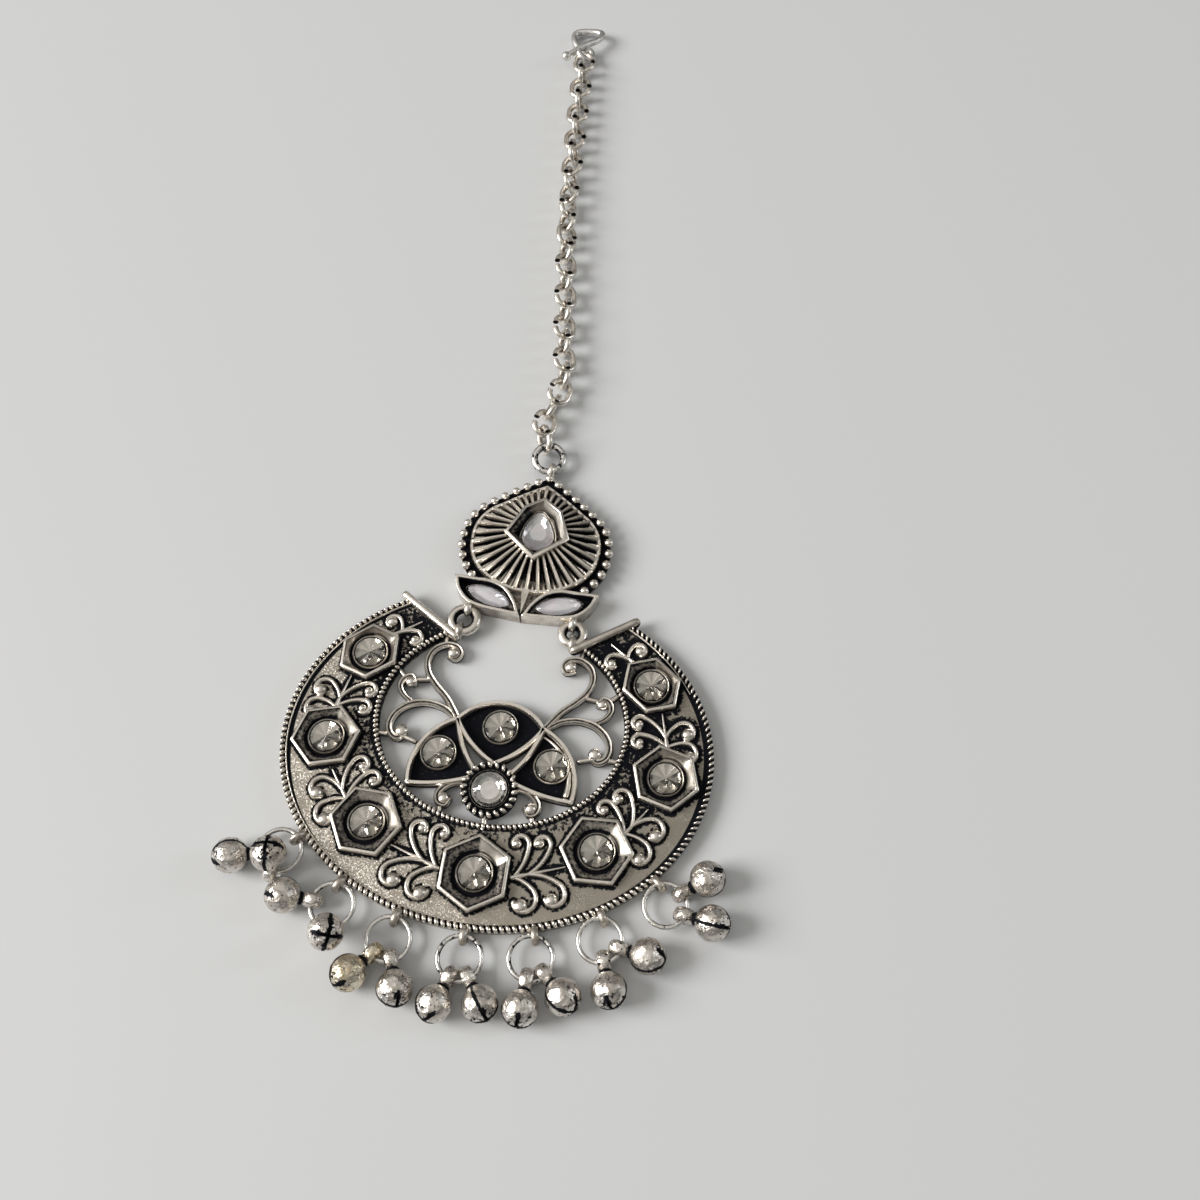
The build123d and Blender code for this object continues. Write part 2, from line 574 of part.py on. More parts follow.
def tikka():
    """Every node of the jewel by name."""
    nodes = {"crescent_plate": crescent_plate(), "crown_plate": crown_plate()}
    nodes.update(stones())
    for side, name in ((-1, "link_left"), (1, "link_right")):
        top = crown_point(side * CROWN_EYE[0], CROWN_EYE[1])
        nodes[name] = ring_through((side * TIP_EYE[0], TIP_EYE[1], RING_Z), (*top, RING_Z),
                                   LOOP_WIRE)
    for number, (place, way) in enumerate(RIM_LOOPS, start=1):
        cx, cy = ring_centre(number)
        nodes[f"jump_ring_{number}"] = Pos(cx, cy, RING_Z) * Torus(RING_R, RING_WIRE)
    pattern = bell()
    for number, row in enumerate(BELLS, start=1):
        nodes[f"bell_{number}"] = bell_at(row) * pattern
    first, second = chain_joints()[:2]
    hold = first + (second - first).normalized() * HOOKED_IN
    nodes["top_ring"] = ring_through((*crown_point(*APEX_EYE), RING_Z), hold, TOP_RING_WIRE)
    nodes["chain"] = chain()
    nodes["hook"] = hook()
    return nodes


if __name__ == "__main__":
    os.makedirs("parts", exist_ok=True)
    for node, shape in tikka().items():
        export_step(shape, f"parts/{node}.step")
        print(node, round(shape.volume, 2))
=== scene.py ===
"""A maang tikka of blackened white metal: crescent, crown, crystals, bells and chain."""
import math

import bmesh
import bpy
import numpy
from mathutils import Matrix, Vector, noise
from mathutils.kdtree import KDTree


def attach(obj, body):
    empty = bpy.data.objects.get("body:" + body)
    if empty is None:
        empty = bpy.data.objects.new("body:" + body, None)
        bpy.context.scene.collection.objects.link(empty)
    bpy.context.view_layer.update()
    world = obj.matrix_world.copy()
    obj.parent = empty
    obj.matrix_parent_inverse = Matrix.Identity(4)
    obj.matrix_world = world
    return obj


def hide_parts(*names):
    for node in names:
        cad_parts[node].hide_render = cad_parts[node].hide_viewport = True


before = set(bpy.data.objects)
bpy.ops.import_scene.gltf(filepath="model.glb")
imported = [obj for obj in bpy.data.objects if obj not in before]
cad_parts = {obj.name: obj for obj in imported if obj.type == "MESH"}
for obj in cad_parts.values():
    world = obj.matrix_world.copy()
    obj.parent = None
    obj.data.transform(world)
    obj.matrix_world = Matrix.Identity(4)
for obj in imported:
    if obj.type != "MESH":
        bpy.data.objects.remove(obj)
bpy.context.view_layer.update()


# ---- the crescent's sheet --------------------------------------------------
# The flat cast ground of the crescent, white metal dipped black and rubbed bright again.
# Its face is sandy, and the black stays beside every rope, cup and scroll. Towards the right it is
# painted darker, as shade, and on the left its grain has painted glints. Sizes are in mm.
RIM_A, RIM_B = 27.5, 22.8               # half the width and half the height of the rim's oval
HOLE_A, HOLE_B, HOLE_Y = 15.6, 13.2, 3.5        # the same of the opening, and its middle
GROUND_TOP = 1.4
HORN_OUT, HORN_IN = 57.0, 58.3          # where the horns end, round the rim and round the hole
ROPE_W = 0.85
AROUND, ACROSS = 600, 68                # points of the sheet, from horn to horn and across it
LINE_STEP = 0.3                         # between the points of a drawn line
SCROLL_WRAP, SCROLL_STEPS = 205, 15     # how far a scroll curls round its eye, in how many steps
SCROLL_SWELL, SCROLL_TIGHT = 22, 0.62   # how late it meets its curl, and how the curl closes in
BRIGHT, MIDDLE, BLACK = (0.86, 0.81, 0.74, 1), (0.38, 0.34, 0.29, 1), (0.004, 0.0045, 0.007, 1)
SANDY = (0.28, 0.255, 0.215, 1)         # the flat cast ground, rubbed less than what stands on it


class Mark:
    """A number or colour that varies over a finish; sums on it add its nodes."""

    def __init__(self, tree, socket=None):
        self.tree, self.socket = tree, socket

    def node(self, kind, settings=(), inputs=(), out=0):
        made = self.tree.nodes.new("ShaderNode" + kind)
        for key, value in dict(settings).items():
            if key == "stops":
                for stop, (place, colour) in zip(made.color_ramp.elements, value):
                    stop.position, stop.color = place, colour
            else:
                setattr(made, key, value)
        for key, value in dict(inputs).items():
            if isinstance(value, Mark):
                self.tree.links.new(value.socket, made.inputs[key])
            else:
                made.inputs[key].default_value = value
        return Mark(self.tree, made.outputs[out])

    def math(self, operation, first, second):
        return self.node("Math", {"operation": operation}, {0: first, 1: second})

    def __add__(self, other):
        return self.math("ADD", self, other)

    def __sub__(self, other):
        return self.math("SUBTRACT", self, other)

    def __rsub__(self, other):
        return self.math("SUBTRACT", other, self)

    def __mul__(self, other):
        return self.math("MULTIPLY", self, other)

    __radd__, __rmul__ = __add__, __mul__

    def most(self, other):
        return self.math("MAXIMUM", self, other)

    def step(self, low, high):
        """0 below low, 1 above high, and smooth between them."""
        return self.node("MapRange", {"interpolation_type": "SMOOTHSTEP"},
                         {"Value": self, "From Min": low, "From Max": high})

    def over(self, first, second):
        """A colour between two colours, by this share."""
        return self.node("Mix", {"data_type": "RGBA"}, {0: self, 6: first, 7: second}, 2)


class Finish(Mark):
    """A metal or stone finish: where on the piece it is in millimetres, and its shader."""

    def __init__(self, name):
        self.material = bpy.data.materials.new(name)
        self.material.use_nodes = True
        super().__init__(self.material.node_tree)
        self.shader = self.tree.nodes["Principled BSDF"]
        place = self.node("TexCoord", out=3)
        self.mm = self.node("VectorMath", {"operation": "SCALE"}, {0: place, 3: 1000.0})

    def grain(self, per_mm, detail=3.0, rough=0.6):
        return self.node("TexNoise", (), {"Vector": self.mm, "Scale": per_mm, "Detail": detail,
                                          "Roughness": rough})

    def attribute(self, name):
        return self.node("Attribute", {"attribute_name": name}, out=2)

    def coordinate(self, axis):
        """One coordinate of the place in millimetres: 0, 1 or 2."""
        return self.node("SeparateXYZ", (), {"Vector": self.mm}, axis)

    def coat_with(self, **sockets):
        for name, value in sockets.items():
            slot = self.shader.inputs[name.replace("_", " ").title().replace("Ior", "IOR")]
            if isinstance(value, Mark):
                self.tree.links.new(value.socket, slot)
            else:
                slot.default_value = value

    def emboss(self, height, depth_mm, strength):
        """Small relief, as deep as the given millimetres."""
        bump = self.node("Bump", (), {"Height": height, "Distance": depth_mm / 1000.0,
                                      "Strength": strength})
        self.tree.links.new(bump.socket, self.shader.inputs["Normal"])


def rim_groove(metal):
    """The black line that starts 1.1 mm inside the outer rim and grows wider up both sides."""
    rounded = metal.node("VectorMath", {"operation": "MULTIPLY"},
                         {0: metal.mm, 1: (1, RIM_A / RIM_B, 0)})
    out = metal.node("VectorMath", {"operation": "LENGTH"}, {0: rounded}, 1)
    side, east = metal.coordinate(1).step(-17, 0), metal.coordinate(0).step(0, 12)
    face = metal.coordinate(2).step(GROUND_TOP - 0.2, GROUND_TOP - 0.1)
    return (out + side * (0.45 - east * 0.17)).step(RIM_A - 1.18, RIM_A - 1.10) * face


def blackened_silver(name, sandy):
    """Bright rubbed metal where patina and painted shade are 0, blue-black where they are 1,
    mottled between.
    """
    metal = Finish(name)
    patina_and_shade = metal.attribute("patina_and_shade")
    cloud, spots, fine = metal.grain(0.55), metal.grain(2.6, 4.0), metal.grain(11.0, 2.0)
    # the sandy ground is blotched, pitted and grained, and the relief nearly smooth
    blotch, pit, edge, depth, relief = ((2.9, 0.3, (0.44, 0.68), 0.07, 0.9) if sandy else
                                        (0.8, 0.12, (0.40, 0.76), 0.02, 0.5))
    mottle, pits = (spots - 0.5) * blotch, (fine - 0.5) * pit
    black = (patina_and_shade + patina_and_shade * mottle + mottle * 0.2 + pits).step(*edge)
    wear_and_shade_level = (cloud - 0.5) * 1.3 + patina_and_shade * 0.9 + (fine - 0.5) * 0.35
    if sandy:                           # painted shade darkens it towards the right, and painted glints brighten its grain on the left
        black = black.most(rim_groove(metal))
        east = metal.coordinate(0).step(-14, 10)
        grit = metal.grain(4.2, 2.0)
        wear_and_shade_level = wear_and_shade_level + 0.45 + east * 0.25 + (grit - 0.5) * (4.6 - east * 3.2)
    wear_and_shade = wear_and_shade_level.step(-0.12, 0.75)
    tone = wear_and_shade.over(BRIGHT, SANDY if sandy else MIDDLE)
    metal.coat_with(base_color=black.over(tone, BLACK), metallic=1.0 - black,
                    roughness=0.27 + wear_and_shade * 0.16 + black * 0.22, specular_ior_level=0.06)
    metal.emboss(fine + spots * 0.6, depth, relief)
    return metal.material


def sub_smooth(low, high, value):
    """0 below low, 1 above high, and smooth between them."""
    share = min(1.0, max(0.0, (value - low) / (high - low)))
    return share * share * (3 - 2 * share)


def new_work():
    """An empty mesh in millimetres that carries the patina and painted shade of each point."""
    work = bmesh.new()
    work.verts.layers.float.new("patina_and_shade")
    return work


def verts_in(geom):
    """The vertices among an operator's results."""
    return [g for g in geom if isinstance(g, bmesh.types.BMVert)]


def put_in_scene(name, data):
    """An object at the origin that holds a mesh, a lamp or a camera."""
    thing = bpy.data.objects.new(name, data)
    bpy.context.scene.collection.objects.link(thing)
    return thing


def show(name, work, material, nodes, smooth):
    """Makes a mesh in millimetres a shown piece that stands for its solids; smooth is the
    angle in degrees past which its edges look sharp."""
    bmesh.ops.recalc_face_normals(work, faces=work.faces)
    bmesh.ops.scale(work, vec=(0.001, 0.001, 0.001), verts=work.verts)
    mesh = bpy.data.meshes.new(name)
    work.to_mesh(mesh)
    work.free()
    mesh.shade_smooth()
    mesh.set_sharp_from_angle(angle=math.radians(smooth))
    mesh.materials.append(material)
    piece = put_in_scene(name, mesh)
    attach(piece, "root")
    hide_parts(*nodes)


def pattern_of(work):
    """Keeps a small shape as a pattern that can be stamped many times."""
    bmesh.ops.recalc_face_normals(work, faces=work.faces)
    mesh = bpy.data.meshes.new("pattern")
    work.to_mesh(mesh)
    work.free()
    return mesh


def stamp(work, pattern, place=Matrix()):
    """Adds a copy of a pattern to a piece."""
    copy = pattern.copy()
    copy.transform(place)
    work.from_mesh(copy)
    bpy.data.meshes.remove(copy)


def show_one(name, pattern, place, material, node, slot, smooth):
    """Shows a piece that is one pattern alone."""
    work = new_work()
    stamp(work, pattern, place)
    show(name, work, material, [node], smooth)


def rolled(angle, axis):
    """A turn about an axis, in degrees."""
    return Matrix.Rotation(math.radians(angle), 4, axis)


def at(x, y, z=0.0, turn=0.0, size=(1, 1, 1)):
    """A place on the jewel: moved, turned about Z by degrees, and scaled first."""
    return Matrix.Translation((x, y, z)) @ rolled(turn, "Z") @ Matrix.Diagonal((*size, 1))


def toward(angle):
    """The direction at an angle in degrees."""
    return Vector((math.cos(math.radians(angle)), math.sin(math.radians(angle))))


def oval(half_a, half_b, centre_y, start, stop, count=360):
    """Points along an oval about the jewel's axis, from one angle to another."""
    turns = [math.radians(start + (stop - start) * k / count) for k in range(count + 1)]
    return [Vector((half_a * math.cos(t), centre_y + half_b * math.sin(t))) for t in turns]


def bow_line(start, finish, rise):
    """Points along an arc that bulges to the left of its chord by rise."""
    start, finish = Vector(start), Vector(finish)
    chord = finish - start
    half = chord.length / 2
    if abs(rise) < 0.01:
        count = max(1, round(2 * half / LINE_STEP))
        return [start.lerp(finish, k / count) for k in range(count + 1)]
    radius = (half * half + rise * rise) / (2 * abs(rise))
    left = Vector((-chord.y, chord.x)) / (2 * half)
    centre = (start + finish) / 2 + left * (rise - math.copysign(radius, rise))
    sweep = -math.copysign(4 * math.atan(abs(rise) / half), rise)
    count = max(4, round(abs(sweep) * radius / LINE_STEP))
    arm = start - centre
    return [centre + Matrix.Rotation(sweep * k / count, 2) @ arm for k in range(count + 1)]


def through(points, each=0):
    """A smooth line through points, in even steps or with as many between each two."""
    points = [Vector(p) for p in points]
    line = [points[0]]
    ends = [2 * points[0] - points[1]] + points + [2 * points[-1] - points[-2]]
    for a, b, c, d in zip(ends, ends[1:], ends[2:], ends[3:]):
        count = each or max(2, round((c - b).length / LINE_STEP))
        for k in range(1, count + 1):
            t = k / count
            line.append(0.5 * (2 * b + (c - a) * t + (2 * a - 5 * b + 4 * c - d) * t * t
                               + (3 * b - a - 3 * c + d) * t * t * t))
    return line


def scroll_line(start, eye, turn, radius):
    """A wire that sweeps round its eye and curls in; turn is 1 for anticlockwise."""
    start, eye = Vector(start), Vector(eye)
    back = math.degrees(math.atan2(start.y - eye.y, start.x - eye.x))
    tangent = math.degrees(math.acos(min(1, radius / (start - eye).length)))
    angle = back + turn * (tangent + SCROLL_SWELL)
    touch = eye + radius * toward(angle)
    chord = math.atan2(touch.y - start.y, touch.x - start.x)
    heading = math.radians(angle + 90 * turn)
    bend = math.atan2(math.sin(heading - chord), math.cos(heading - chord))
    line = bow_line(start, touch, -(touch - start).length / 2 * math.tan(bend / 2))
    for k in range(1, SCROLL_STEPS + 1):
        share = k / SCROLL_STEPS
        curl = radius * (1 + (SCROLL_TIGHT - 1) * share)
        line.append(eye + curl * toward(angle + turn * SCROLL_WRAP * share))
    return line


# the scroll relief on the right half: root and tip of each stem, then its scrolls, the first half
# towards the opening and the rest towards the rim: middle and radius of the curl, and its granule
SPRAYS = [
    ((4.5, -15.9), (10.7, -13.8),
     [((4.85, -11.7), 1.15, (4.5, -11.75), 0.6), ((7.5, -11.45), 1.15, (7.25, -11.35), 0.62),
      ((6.2, -18.4), 1.75, (6.05, -19.1), 0.9), ((9.7, -17.4), 1.6, (9.6, -17.95), 0.85)]),
    ((17.2, -9.0), (19.8, -5.5),
     [((14.55, -6.1), 1.1, (14.5, -6.3), 0.58), ((16.35, -4.5), 1.2, (16.1, -4.65), 0.6),
      ((19.2, -11.1), 1.6, (19.4, -11.8), 0.85), ((20.7, -8.1), 1.55, (21.1, -8.7), 0.85)]),
    ((21.3, 2.6), (20.2, 7.1),
     [((17.75, 3.0), 1.05, (17.8, 2.9), 0.55), ((17.45, 5.4), 1.05, (17.5, 5.3), 0.58),
      ((23.75, 2.1), 1.5, (24.2, 1.75), 0.8), ((23.3, 4.95), 1.4, (23.7, 4.75), 0.82)]),
    ((16.0, 13.4), (12.6, 15.8),
     [((13.1, 13.3), 1.1, (13.0, 13.1), 0.6), ((16.3, 15.2), 1.1, (16.45, 15.3), 0.72)]),
]
SPRIGS = (0.02, 0.3)                    # how far up its stem the first scroll springs, and the next
# one row for each hexagon cup: x, y, direction of one corner, reach to it, half width
CUPS = [(-18.4, 10.6, 38, 4.3, 3.2), (-21.5, -1.4, 195, 4.45, 3.75), (-14.2, -11.5, 238, 4.6, 4.0),
        (0.0, -16.0, 270, 4.8, 4.1), (14.2, -11.5, 302, 4.6, 4.0), (21.5, -1.4, 345, 4.45, 3.75),
        (18.4, 10.6, 142, 4.3, 3.2)]


def spray_lines():
    """Centre lines of the stems and scrolls on both halves, and the granules they curl round."""
    stems, scrolls, granules = [], [], []
    for root, tip, curls in SPRAYS:
        stems.append(bow_line(root, tip, 0.0))
        for number, (middle, radius, granule, size) in enumerate(curls):
            inward = number < len(curls) / 2
            start = Vector(root).lerp(Vector(tip), SPRIGS[number % 2])
            scrolls.append(scroll_line(start, middle, 1 if inward else -1, radius))
            granules.append((*granule, size))
    other = [[Vector((-p.x, p.y)) for p in line] for line in stems + scrolls]
    count = len(stems)
    return (stems + other[:count], scrolls + other[count:],
            granules + [(-x, y, size) for x, y, size in granules])


def hexagon(x, y, axis, reach, half):
    """Corners of a hexagon with two corners on its axis, anticlockwise."""
    flat = [(reach, 0), (reach / 2, half), (-reach / 2, half),
            (-reach, 0), (-reach / 2, -half), (reach / 2, -half)]
    turned = Matrix.Rotation(math.radians(axis), 2)
    return [Vector((x, y)) + turned @ Vector(p) for p in flat]


stem_lines, scroll_lines, scroll_granules = spray_lines()
silver_ground = blackened_silver("sandy_silver", True)
silver_relief = blackened_silver("rubbed_silver", False)

beside = []                            # points where relief meets the ground, and its half width
for line in stem_lines + scroll_lines:
    beside += [(p, 0.32) for p in line]
beside += [(Vector((x, y)), size) for x, y, size in scroll_granules]
for row in CUPS:
    corners = hexagon(*row)
    for a, b in zip(corners, corners[1:] + corners[:1]):
        beside += [(p, 0.05) for p in bow_line(a, b, 0.0)]
near = KDTree(len(beside))
for number, (p, _) in enumerate(beside):
    near.insert((p.x, p.y, 0), number)
near.balance()

work = new_work()
patina_and_shade = work.verts.layers.float["patina_and_shade"]
bmesh.ops.create_grid(work, x_segments=AROUND, y_segments=ACROSS, size=0.5)
for v in work.verts:
    along, out = v.co.x + 0.5, v.co.y + 0.5
    start = HORN_IN + (HORN_OUT - HORN_IN) * out
    stop = -180 - HORN_IN - (HORN_OUT - HORN_IN) * out
    turn = math.radians(start + (stop - start) * along)
    inner = Vector(((HOLE_A + 0.1) * math.cos(turn), HOLE_Y + (HOLE_B + 0.1) * math.sin(turn)))
    outer = Vector(((RIM_A - 0.12) * math.cos(turn), (RIM_B - 0.12) * math.sin(turn)))
    p = inner.lerp(outer, out)
    v.co = (p.x, p.y, GROUND_TOP)
    _, number, far = near.find((p.x, p.y, 0))
    far -= beside[number][1]
    to_hole = math.hypot(p.x, (p.y - HOLE_Y) * HOLE_A / HOLE_B) - HOLE_A - ROPE_W
    side = sub_smooth(-15, 6, p.y)      # 0 on the low middle, 1 on the two horns
    right = side * sub_smooth(0, 18, p.x)
    # black beside the relief and the inner rope, fading over the inner half and at the horns' ends;
    # on the right half it spreads wider and darker, patina with painted shade
    spread = 0.48 + 0.35 * right + 0.14 * sub_smooth(-2, 8, p.x)
    dark = max(1.15 - sub_smooth(0.1, spread, far),
               1.15 - 0.9 * sub_smooth(0.05, 0.4, to_hole))
    faded = (0.3 + 0.08 * side + 0.13 * right) * (1 - sub_smooth(0.6, 3.0 + 1.8 * side, to_hole))
    faded += 0.4 * (1 - sub_smooth(0.015, 0.07, min(along, 1 - along)))
    v[patina_and_shade] = min(1.4, max(0.0, dark - 0.1) + faded + 0.04 + 0.1 * side)
edge = [e for e in work.edges if e.is_boundary]
grown = bmesh.ops.extrude_edge_only(work, edges=edge)["geom"]
lower = verts_in(grown)
bmesh.ops.translate(work, vec=(0, 0, -GROUND_TOP), verts=lower)
for v in lower:
    v[patina_and_shade] = 0.38
back = [g for g in grown if isinstance(g, bmesh.types.BMEdge)]
bmesh.ops.triangle_fill(work, edges=[e for e in back if e.is_boundary], use_beauty=True)
show("crescent_sheet", work, silver_ground, ["crescent_plate"], 40)


# ---- rope rims and horn bars -----------------------------------------------
# Twisted borders cast round the rim and round the opening, and a plain rod across each horn.
# Each turn of the twist is a small slanted bead; the black stays low between them.
ROPE_Z = 1.42
BEAD_SLANT = 28                         # how far the beads lean from the rope's line, in degrees
OUTER_TWIST, INNER_TWIST = 0.78, 0.65   # from bead to bead


def bead_pattern(long, thick, tall, rings=8, sides=10, low=-0.25, high=0.45):
    """A bead with a bright top and a black foot."""
    bead = new_work()
    layer = bead.verts.layers.float["patina_and_shade"]
    bmesh.ops.create_uvsphere(bead, u_segments=sides, v_segments=rings, radius=1.0)
    for v in bead.verts:
        v[layer] = 1.0 - sub_smooth(low, high, v.co.z)
    bmesh.ops.scale(bead, vec=(thick, long, tall), verts=bead.verts)
    return pattern_of(bead)


def spaced(line, pitch):
    """Places at an even pitch along a line, each with the line's direction in degrees."""
    gaps = [(b - a).length for a, b in zip(line, line[1:])]
    total = sum(gaps)
    count = max(1, round(total / pitch))
    marks, walked, index = [], 0.0, 0
    for k in range(count):
        target = (k + 0.5) * total / count
        while walked + gaps[index] < target:
            walked += gaps[index]
            index += 1
        a, b = line[index], line[index + 1]
        share = (target - walked) / gaps[index]
        marks.append((a.lerp(b, share), math.degrees(math.atan2(b.y - a.y, b.x - a.x))))
    return marks


def unit_ring(sides, square):
    """Points of a wire's section; square below 1 flattens its sides."""
    turns = [2 * math.pi * k / sides for k in range(sides)]
    return [(math.copysign(abs(math.cos(t)) ** square, math.cos(t)),
             math.copysign(abs(math.sin(t)) ** square, math.sin(t))) for t in turns]


def pull_wire(line, wide, high, level, sides=10, square=1.0, thin=(1.0, 1.0), low=-0.1, top=0.62,
              swell=0.0, groove=0.0):
    """A wire of oval section along a line, its ends rounded and its flanks black.

    wide and high are its half sizes, level is the height of its centre, thin says how
    thick its two ends are, swell how much its middle gains, low and top between which
    shares of its height the black fades, and groove how black the hollow along its top is."""
    wire = new_work()
    layer = wire.verts.layers.float["patina_and_shade"]
    line = [Vector((p[0], p[1], p[2] if len(p) > 2 else level)) for p in line]
    stations = []
    first, last = (line[0] - line[1]).normalized(), (line[-1] - line[-2]).normalized()
    for a in (88, 60, 30):
        bulge = wide * thin[0] * math.sin(math.radians(a))
        stations.append((line[0] + first * bulge, -first, thin[0] * math.cos(math.radians(a))))
    for k, p in enumerate(line):
        share = k / (len(line) - 1)
        ahead = line[min(k + 1, len(line) - 1)] - line[max(k - 1, 0)]
        size = thin[0] + (thin[1] - thin[0]) * share + swell * math.sin(math.pi * share)
        stations.append((p, ahead.normalized(), size))
    for a in (30, 60, 88):
        bulge = wide * thin[1] * math.sin(math.radians(a))
        stations.append((line[-1] + last * bulge, last, thin[1] * math.cos(math.radians(a))))
    ring = bmesh.ops.create_circle(wire, segments=sides, radius=1.0)["verts"]
    for v, (x, y) in zip(ring, unit_ring(sides, square)):
        v.co = (x, y, 0)
        v[layer] = 1.0 - sub_smooth(low, top, y)
        if groove and abs(x) < 0.1 and y > 0:
            v.co.y, v[layer] = 0.7, groove
    bmesh.ops.spin(wire, geom=wire.edges[:], cent=(0, 0, 0), axis=(0, 0, 1), dvec=(0, 0, 1),
                   angle=0, steps=len(stations) - 1)
    places = []
    for p, ahead, size in stations:
        side = Vector((0, 0, 1)).cross(ahead).normalized()
        rise = ahead.cross(side)
        places.append((p, side * wide * size, rise * high * size))
    for v in wire.verts:
        p, side, rise = places[round(v.co.z)]
        v.co = p + side * v.co.x + rise * v.co.y
    bmesh.ops.holes_fill(wire, edges=[e for e in wire.edges if e.is_boundary], sides=0)
    return pattern_of(wire)


def lay_wire(work, line, *sizes, mirrored=False, **more):
    """Pulls a wire and sets it on a piece, and its mirror image on the other half."""
    wire = pull_wire(line, *sizes, **more)
    stamp(work, wire)
    if mirrored:
        stamp(work, wire, Matrix.Diagonal((-1, 1, 1, 1)))
    bpy.data.meshes.remove(wire)


work = new_work()
bead = bead_pattern(0.58, 0.3, 0.5, low=-0.35, high=0.3)
outer_line = oval(RIM_A - 0.47, RIM_B - 0.47, 0, HORN_OUT, -180 - HORN_OUT)
inner_line = oval(HOLE_A + 0.42, HOLE_B + 0.42, HOLE_Y, HORN_IN, -180 - HORN_IN)
# one row for each rope: its line and pitch, and the beads' size and how slim they get at the sides
for line, pitch, size, narrow in ((outer_line, OUTER_TWIST, 1.0, 0.34),
                                  (inner_line, INNER_TWIST, 0.84, 0.15)):
    for p, turn in spaced(line, pitch):
        side, east = sub_smooth(-18, 0, p.y), 0.0
        if line is outer_line:          # on the right the outer beads lean more and are shorter
            east = sub_smooth(4, 16, p.x) * sub_smooth(-20, -8, p.y)
        slim = size * (1 - narrow * side * (1 - east))
        away = 1 + 0.005 * (1 - slim / size)
        stamp(work, bead, at(p.x * away, p.y * away, ROPE_Z, turn + BEAD_SLANT + 12 * east,
                             (size * (1 - 0.36 * east), slim * (1 - 0.08 * east), size)))
# a fine ridge inside the outer rope, on the right horn and along the whole left side
for start, stop, thin in ((HORN_OUT, 28, (1.0, 0.3)), (-84, -180 - HORN_OUT, (0.3, 1.0))):
    lay_wire(work, oval(RIM_A - 0.95, RIM_B - 0.95, 0, start, stop), 0.16, 0.32, ROPE_Z,
             low=-0.2, top=0.5, thin=thin)
# the horn bars, the left one bright all over and the right one darker
for side, low, top in ((1, -0.6, 1.7), (-1, -0.9, -0.2)):
    rod = bow_line((side * 15.45, 19.35), (side * 7.8, 14.3), 0.0)
    lay_wire(work, rod, 0.56, 0.85, 1.5, square=0.8, low=low, top=top)
show("rope_rims", work, silver_relief, ["crescent_plate"], 60)


# ---- scroll relief ---------------------------------------------------------
# Pointed stems with scrolls to both sides, cast on the ground between the cups.
# Each scroll curls round a granule, with the black in the cleft between them.
RELIEF_Z = 1.5
work = new_work()
for line in stem_lines:
    lay_wire(work, line, 0.34, 0.5, RELIEF_Z, thin=(0.95, 0.3), low=-0.2, top=0.45)
for line in scroll_lines:
    lay_wire(work, line, 0.36, 0.52, RELIEF_Z, thin=(0.65, 0.95), swell=0.1, low=-0.2, top=0.45)
granule = bead_pattern(1.0, 1.0, 1.0, rings=10, sides=14, low=-0.2, high=0.3)
for x, y, size in scroll_granules:
    stamp(work, granule, at(x, y, RELIEF_Z, 0, (size, size, 0.4 + size * 0.4)))
show("scroll_relief", work, silver_relief, ["crescent_plate"], 60)


# ---- hexagon cups ----------------------------------------------------------
# Seven deep cups with thin rubbed rims, cast with the crescent. Their floors are black, and a fine
# collar of bright metal holds each crystal. The walls on their upper right are lightened with a
# painted reflection.
CUP_BASE, CUP_TOP, CUP_FLOOR = 1.2, 2.6, 1.45
CUP_RIM, WELL_R = 0.38, 2.62            # the width of a cup's rim, and the radius of its floor
WALL_POINTS = 8                         # along each side of a cup
SHEEN_SIDE = 50                          # the direction, in degrees, of the cup walls lightened with a painted reflection of the window


def drawn_in(outline, by):
    """An anticlockwise outline drawn in evenly."""
    points = [Vector(p) for p in outline]
    inner = []
    for a, b, c in zip(points[-1:] + points[:-1], points, points[1:] + points[:1]):
        first, second = (b - a).normalized(), (c - b).normalized()
        first, second = Vector((-first.y, first.x)), Vector((-second.y, second.x))
        inner.append(b + (first + second) * (by / (1 + first.dot(second))))
    return inner


def black_under_sheen(corners):
    """How much of its black each point of a cup's walls keeps; the walls on the upper right are
    lightened with a painted reflection of the window.
    """
    under_sheen = []
    for a, b in zip(corners, corners[1:] + corners[:1]):
        facing = math.degrees(math.atan2(a.x - b.x, b.y - a.y))
        off = abs((facing - SHEEN_SIDE + 180) % 360 - 180)
        under_sheen += [1 - 0.62 * (1 - sub_smooth(22, 48, off))] * WALL_POINTS
    return under_sheen


def cast_cup(levels, soften):
    """A cup raised from outline to outline: up its outside, over its rim and down to its floor.

    Each level is an outline, its height and its patina and painted shade, one or one for each
    point."""
    cup = new_work()
    layer = cup.verts.layers.float["patina_and_shade"]
    top = max(z for _, z, _ in levels)
    ring, face = [], None
    for outline, z, dark in levels:
        if face is None:
            ring = [cup.verts.new((p[0], p[1], z)) for p in outline]
            face = cup.faces.new(ring)
        else:
            grown = bmesh.ops.extrude_face_region(cup, geom=[face, *face.edges, *face.verts])
            face = next(g for g in grown["geom"] if isinstance(g, bmesh.types.BMFace))
            here = {v.co.copy().freeze(): v for v in face.verts}
            ring = [here[v.co.copy().freeze()] for v in ring]
        for v, p in zip(ring, outline):
            v.co = (p[0], p[1], z)
        for v, here in zip(ring, dark if isinstance(dark, list) else [dark] * len(ring)):
            v[layer] = here
    edges = [e for e in cup.edges if e.calc_face_angle(0) > 0.5 and e.verts[0].co.z > top - 0.27
             and abs(e.verts[0].co.z - e.verts[1].co.z) < 1e-4]
    bmesh.ops.bevel(cup, geom=edges, offset=soften, offset_type="OFFSET", affect="EDGES",
                    segments=2, profile=0.5, material=-1)
    return pattern_of(cup)


